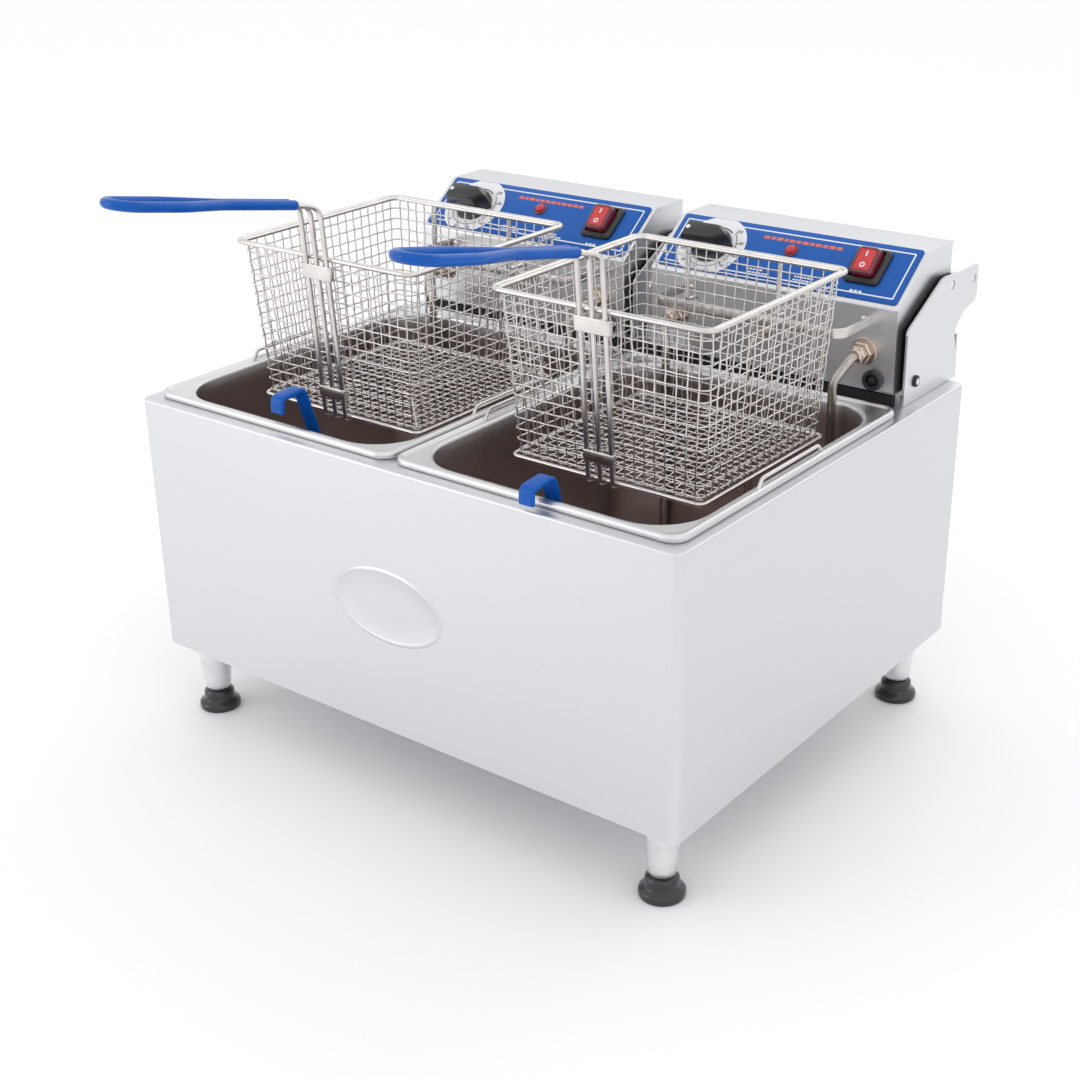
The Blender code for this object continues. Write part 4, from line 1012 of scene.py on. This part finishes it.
def back_fittings(side):
    """The back cover's screws and the open cord gland."""
    low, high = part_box(f"{side}_back_cover")
    head = turned([(0, 0), (3.6, 0), (3.6, 0.8), (3, 1.8), (1.6, 2.3), (0, 2.4)], 24)
    screws = [
        placed(head, pointing((0, 1, 0), (x, high.y, z)))
        for x in (low.x + 0.008, high.x - 0.008) for z in (low.z + 0.01, high.z - 0.01)
    ]
    side_piece(side, "cover_screws", "head", screws, [LEG], slot="leg_metal")
    gland = turned([
        (0, -6), (11, -6), (11, -2.1), (8, -2.1), (8, 0.2), (10, 0.2), (10, 7), (9.8, 13), (9, 15.5),
        (7.6, 17.2), (6, 18), (5, 18), (4.8, 17.4), (4.8, 1), (0, 1),
    ])
    hexagon = turned([(9, 0.2), (11.2, 0.2), (11.6, 0.8), (11.6, 5.2), (10.8, 6), (9, 6)], 6)
    back_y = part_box(f"{side}_head_housing")[1].y
    matrix = pointing((0, 1, 0), (head_x(side) + GLAND_X, back_y, GLAND_Z))
    side_piece(side, "gland", "head", [placed(gland, matrix), placed(hexagon, matrix)], [BLACK],
               "cord_gland", "black_plastic")


def guard_handle(side):
    """The dipped end of the guard's strap, up inside the tank, over the rim and down outside."""
    low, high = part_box(f"{side}_guard_grip")
    x = (low.x + high.x) / 2
    width = high.x - low.x
    thick = 0.0044
    top = high.z - thick / 2
    path = [
        (x, high.y - thick / 2, low.z), (x, low.y + 0.0265 + thick / 2, top),
        (x, low.y + thick / 2 + 0.0005, top - 0.002), (x, low.y + thick / 2, top - 0.0145),
    ]
    strap = sweep(bent(path, [0, 0.006, 0.005, 0], 8), bar_section(width, thick, 0.0019, 4))
    side_piece(side, "guard_handle", "guard", [strap], [BLUE], "guard_grip", "blue_vinyl", sharp=50)


# ---- basket


class Basket:
    """One basket's places: its middle, base and rim, read from the frame."""

    def __init__(self, side):
        low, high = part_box(f"{side}_basket_mesh")
        self.x, self.y, _ = (low + high) / 2
        self.base = low.z
        self.rim = high.z

    def between(self, low, high, z):
        """A size that grows from base to rim, at a height."""
        return low + (high - low) * (z - self.base) / (self.rim - self.base)

    def half(self, z):
        """The woven wall's half width at a height."""
        return self.between(BASKET_BASE, BASKET_MOUTH, z) - MESH_WIRE - MESH_WAVE

    def wall(self, turn, share, z):
        """A place on a wall, and the way out of it; share runs from -0.5 to 0.5 along the wall."""
        corner = self.between(BASE_CORNER, MOUTH_CORNER, z)
        straight = self.half(z) - corner
        distance = share * (2 * straight + math.pi / 2 * corner)
        beyond = max(abs(distance) - straight, 0.0) / corner
        sign = 1 if distance > 0 else -1
        x = sign * (min(abs(distance), straight) + corner * math.sin(beyond))
        y = -straight - corner * math.cos(beyond)
        spin = Matrix.Rotation(turn * math.pi / 2, 3, "Z")
        return spin @ Vector((x, y, z)), spin @ Vector((sign * math.sin(beyond), -math.cos(beyond), 0))

    def hoop_z(self, row):
        """The height of a row of the weave."""
        return self.base + (self.rim - 0.002 - self.base) / (MESH_HOOPS + 0.3) * (row + 0.55)

    def grip_point(self, along, across=0.0):
        """A place on the grip's middle plane, by its distance from the end nearest the basket."""
        y = -(BASKET_MOUTH + RIM_OVERHANG) - 0.022 - along * math.cos(GRIP_RISE)
        return Vector((across, y, self.rim + 0.05 + along * math.sin(GRIP_RISE)))

    def piece(self, side, name, shapes, *looks, **more):
        """A piece of the basket, from shapes drawn about its middle."""
        shapes = [shifted(shape, self.x, self.y) for shape in shapes]
        side_piece(side, name, "basket", shapes, *looks, **more)


def woven_mesh(basket):
    """Crimped wires: hoops round the walls, and wires down one wall, across the floor and up the next."""
    section = circle(MESH_WIRE, 6)
    shapes = []
    for row in range(MESH_HOOPS):
        path = []
        for turn in range(4):
            for i in range(MESH_CELLS * WAVE_STEPS):
                share = (i / WAVE_STEPS + 0.5) / MESH_CELLS - 0.5
                place, out = basket.wall(turn, share, basket.hoop_z(row))
                path.append(place + out * (MESH_WAVE * math.cos(math.pi * (i / WAVE_STEPS + row + turn))))
        shapes.append(sweep(path, section, closed=True, side=(0, 0, 1)))
    for turn in (0, 1):
        for column in range(MESH_CELLS):
            shapes.append(sweep(cross_wire(basket, turn, column), section))
    return shapes


def cross_wire(basket, turn, column):
    """One wire's path down a wall, across the floor and up the opposite wall."""
    share = (column + 0.5) / MESH_CELLS - 0.5
    floor_z = basket.base + MESH_WIRE + MESH_WAVE
    rows = np.arange(0, int((MESH_HOOPS - 0.25) * WAVE_STEPS) + 1) / WAVE_STEPS

    def wave(index):
        return -MESH_WAVE * math.cos(math.pi * (index + column))

    def on_wall(side_turn, side_share, row, index):
        place, out = basket.wall(side_turn, side_share, basket.hoop_z(row))
        return place + out * wave(index)

    front, _ = basket.wall(turn, share, floor_z)
    rear, _ = basket.wall(turn + 2, -share, floor_z)
    corner = Vector((0, 0, 0.0012))
    path = [on_wall(turn, share, row, -1 - row) for row in rows[::-1]]
    path.append(front + (rear - front) * 0.004 + corner)
    for index in np.arange(0, (MESH_CELLS - 1) * WAVE_STEPS + 1) / WAVE_STEPS:
        along = (0.5 + index) / MESH_CELLS
        path.append(front + (rear - front) * along + Vector((0, 0, wave(index))))
    path.append(rear + (front - rear) * 0.004 + corner)
    return path + [on_wall(turn + 2, -share, row, MESH_CELLS + row) for row in rows]


def hoop(half, corner, z, radius):
    """A square wire hoop with rounded corners."""
    corners = [(-half, -half, z), (half, -half, z), (half, half, z), (-half, half, z)]
    return wire(bent(corners, corner, 8, closed=True), radius, closed=True, sides=14)


def basket_frame(side, basket):
    """The double rim, the base hoop, three handle wires with their welded plates, and the back hooks."""
    rim_half = BASKET_MOUTH + RIM_OVERHANG - RIM_WIRE
    inner_half = rim_half - RIM_WIRE - RIM_INNER_WIRE + 0.0002
    base_half = BASKET_BASE + 0.0022
    shapes = [
        hoop(rim_half, MOUTH_CORNER + RIM_WIRE, basket.rim, RIM_WIRE),
        hoop(inner_half, MOUTH_CORNER - 0.0018, basket.rim - 0.0008, RIM_INNER_WIRE),
        hoop(base_half, BASE_CORNER + BASE_WIRE, basket.base + 0.0012, BASE_WIRE),
    ]
    foot_y = -(base_half + BASE_WIRE + HANDLE_WIRE - WELD)
    rim_y = -(BASKET_MOUTH + RIM_OVERHANG + HANDLE_WIRE - WELD)
    lean = (rim_y - foot_y) / (basket.rim - basket.base)
    bend_z = basket.rim + 0.046
    end = basket.grip_point(0.006)
    for place in (-1, 0, 1):
        x = place * HANDLE_SPREAD
        points = [
            (x, foot_y + 0.006, basket.base - 0.0015), (x, foot_y, basket.base - 0.0005),
            (x, foot_y + lean * (bend_z - basket.base), bend_z), (place * 0.0048, end.y, end.z),
        ]
        shapes.append(wire(bent(points, [0, 0.003, 0.012, 0]), HANDLE_WIRE, sides=14))
    for z, reach, height in ((basket.rim - 0.0115, 0.0165, 0.0125), (basket.base + 0.022, 0.0145, 0.0095)):
        y = foot_y + lean * (z - basket.base) - HANDLE_WIRE
        strap = [(-reach, y + 0.004, z), (-reach, y, z), (reach, y, z), (reach, y + 0.004, z)]
        section = bar_section(height, 0.0016, 0.0006)
        shapes.append(sweep(bent(strap, 0.0016, 4), section, side=(0, 0, 1)))
    shapes += hooks(side, basket)
    shapes += corner_folds(basket)
    basket.piece(side, "basket_wires", shapes, [CHROME], "basket_frame", "wire_chrome")


def hooks(side, basket):
    """Two wires down the basket's back that bend over the hanger bar and down behind it."""
    low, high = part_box(f"{side}_hanger_bar")
    crest = high.z + 0.0025 + HANDLE_WIRE
    behind = low.y + 0.002 + HANDLE_WIRE + 0.0016 - basket.y
    middle = head_x(side) - basket.x
    top = basket.half(basket.rim) + 0.0036
    bar = basket.half(crest) + 0.0036
    shapes = []
    for x in (middle - HOOK_SPREAD, middle + HOOK_SPREAD):
        points = [(x, top, basket.rim), (x, bar, crest), (x, behind, crest), (x, behind, low.z - 0.0075)]
        shapes.append(wire(bent(points, 0.003, 6), HANDLE_WIRE))
    return shapes


def corner_folds(basket):
    """The doubled wires where the mesh is folded over at the floor's front corners."""
    z = basket.base + 0.003
    outer, inner = BASKET_BASE - 0.006, BASKET_BASE - 0.062
    paths = [[(sign * outer, -outer, z), (sign * inner, -inner, z)] for sign in (-1, 1)]
    return [wire(path, MESH_WIRE * 1.3, sides=8) for path in paths]


def basket_grip(side, basket):
    """The dipped grip: one bent rod, its two strands side by side, then open in a long loop."""
    start, end = 0.004, GRIP_LENGTH * 0.42
    near, wide = GRIP_RADIUS * 0.98, 0.0165
    far = GRIP_LENGTH - GRIP_RADIUS
    half = [(start, near), (end, near), (end + 0.05, wide), (far, wide)]
    corners = [basket.grip_point(along, -across) for along, across in half]
    corners += [basket.grip_point(along, across) for along, across in reversed(half)]
    radii = [0, 0.06, 0.06, 0.016]
    rod = wire(bent(corners, radii + radii[::-1], 12), GRIP_RADIUS, sides=20)
    strands = [basket.grip_point(0.006), basket.grip_point(end + 0.004)]
    web = sweep(strands, circle(GRIP_RADIUS * 0.55, 12, 1.6))
    dome = [(1.0, -0.001), (1.0, 0.0), (0.92, 0.0014), (0.66, 0.0026), (0.0, 0.003)]
    cap = lathe([(GRIP_RADIUS * share, z) for share, z in dome], 20)
    ends = []
    for across in (-near, near):
        tip = basket.grip_point(start, across)
        ends.append(placed(cap, pointing(basket.grip_point(-0.002, across) - tip, tip)))
    basket.piece(side, "dipped_grip", [rod, web, *ends], [BLUE], "basket_grip", "blue_vinyl", sharp=60)


# ---- CAD finishes


def plate_screws():
    """The slotted screw in each standing plate's front foot, with a black ring round it as painted shade in
    its recess.
    """
    # Painted shade: the black ring stands in for the shade in the recess round each screw head.
    ring = turned([(3, -2.6), (5.2, -2.6), (5.2, -1), (4.6, -0.4), (3, -0.4)], 28)
    head = turned([(0, -2.6), (3, -2.6), (3, 0), (2.4, 0.4), (0, 0.5)], 28)
    for side in SIDES:
        for place in ("outer", "inner"):
            low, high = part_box(f"{side}_{place}_hinge_plate")
            outward = 1 if (low.x + high.x) / 2 > head_x(side) else -1
            x = high.x if outward > 0 else low.x
            matrix = pointing((outward, 0, 0), (x, MIDDLE_Y + PLATE_SCREW_Y, PLATE_SCREW_Z))
            piece(f"{side}_{place}_plate_screw", "root", [placed(ring, matrix), (*placed(head, matrix), 1)],
                  [RUBBER, LEG], slot="leg_metal")


CAD_FINISHES = {
    # The rest strip's black is partly painted shade: a rubber rest that also stands in for the dark gap
    # under each head's front.
    "cabinet_floor": CABINET, "pivot_rod": LEG, "swing_stop_rod": LEG, "rest_strip": RUBBER,
    "hinge_plate": HEAD, "back_cover": HEAD, "terminal_block": CERAMIC, "thermostat_body": CERAMIC,
    # The element guard takes the tank steel's painted shade, darker and browner below the deck.
    "element_guard": TANK,
}


def finish_cad_nodes():
    """Paints each CAD node that stays, and rounds the edges of the sheet ones."""
    for name, node in frame["nodes"].items():
        if node.hide_render:
            continue
        for ending, material in CAD_FINISHES.items():
            if name.endswith(ending):
                node.data.materials.clear()
                node.data.materials.append(material)
                if ending in ("hinge_plate", "back_cover", "element_guard", "cabinet_floor"):
                    soften(node, 0.0004)


# ---- camera and studio


FLOOR = 20.0
CAMERA_PLACE = (0.89169, -1.10784, 0.8232)
CAMERA_ANGLES = (38.29, 24.15, -1.01)
SKY = ((0.0, 0.7), (0.12, 0.86), (0.35, 1.0), (0.75, 1.0))


def camera():
    """A camera to the front right, a little above the heads."""
    data = bpy.data.cameras.new("camera")
    data.sensor_width = 36.0
    data.lens = 57.08
    data.clip_start = 0.05
    data.clip_end = 100.0
    obj = bpy.data.objects.new("camera", data)
    bpy.context.scene.collection.objects.link(obj)
    azimuth, elevation, roll = (math.radians(angle) for angle in CAMERA_ANGLES)
    turn = Matrix.Rotation(azimuth, 4, "Z") @ Matrix.Rotation(math.pi / 2 - elevation, 4, "X")
    obj.matrix_world = Matrix.Translation(CAMERA_PLACE) @ turn @ Matrix.Rotation(roll, 4, "Z")
    bpy.context.scene.camera = obj


def studio():
    """A pale floor under a bright sky, with three large soft lights."""
    mesh = bpy.data.meshes.new("studio_floor")
    corners = [(-FLOOR, -FLOOR, 0), (FLOOR, -FLOOR, 0), (FLOOR, FLOOR, 0), (-FLOOR, FLOOR, 0)]
    mesh.from_pydata(corners, [], [(0, 1, 2, 3)])
    floor = bpy.data.objects.new("studio_floor", mesh)
    bpy.context.scene.collection.objects.link(floor)
    finish = Finish("studio_floor")
    finish.shader["Base Color"].default_value = (0.96, 0.96, 0.962, 1.0)
    finish.shader["Roughness"].default_value = 0.55
    mesh.materials.append(finish.material)
    world = bpy.data.worlds.new("studio_sky")
    world.use_nodes = True
    world_nodes, world_links = world.node_tree.nodes, world.node_tree.links
    place = world_nodes.new("ShaderNodeTexCoord")
    split = world_nodes.new("ShaderNodeSeparateXYZ")
    ramp = world_nodes.new("ShaderNodeValToRGB")
    world_links.new(place.outputs["Generated"], split.inputs["Vector"])
    world_links.new(split.outputs["Z"], ramp.inputs["Fac"])
    first, last = ramp.color_ramp.elements
    first.position, last.position = SKY[0][0], SKY[-1][0]
    for position, _ in SKY[1:-1]:
        ramp.color_ramp.elements.new(position)
    for element, (_, level) in zip(ramp.color_ramp.elements, SKY):
        element.color = (level, level, level * 1.01, 1.0)
    world_links.new(ramp.outputs["Color"], world_nodes["Background"].inputs["Color"])
    world_nodes["Background"].inputs["Strength"].default_value = 1.05
    bpy.context.scene.world = world
    softbox("key_light", (-1.9, -2.3, 1.1), 1.6, 11)
    softbox("fill_light", (2.4, -0.9, 1.5), 1.4, 2)
    softbox("back_light", (0.2, 2.2, 2.0), 1.8, 5)
    bpy.context.scene.view_settings.view_transform = "Standard"
    bpy.context.scene.view_settings.look = "None"


def softbox(name, place, size, power):
    """A square soft light, aimed at the fryer."""
    light = bpy.data.lights.new(name, "AREA")
    light.size = size
    light.energy = power
    obj = bpy.data.objects.new(name, light)
    bpy.context.scene.collection.objects.link(obj)
    aim = Vector((0, 0, 0.3)) - Vector(place)
    obj.location = place
    obj.rotation_euler = aim.to_track_quat("-Z", "Y").to_euler()


def main():
    """Builds every piece round the frame."""
    camera()
    studio()
    cabinet_body()
    legs_and_feet()
    tanks()
    plate_screws()
    for side in SIDES:
        head_housing(side)
        painted_shade_liners(side)
        faceplate(side)
        thermostat_knob(side)
        switch_and_rocker(side)
        lamp_and_reset(side)
        element_and_probe(side)
        hanger(side)
        back_fittings(side)
        guard_handle(side)
        basket = Basket(side)
        basket.piece(side, "basket_weave", woven_mesh(basket), [CHROME], "basket_mesh", "wire_chrome",
                     sharp=80)
        basket_frame(side, basket)
        basket_grip(side, basket)
    finish_cad_nodes()


main()
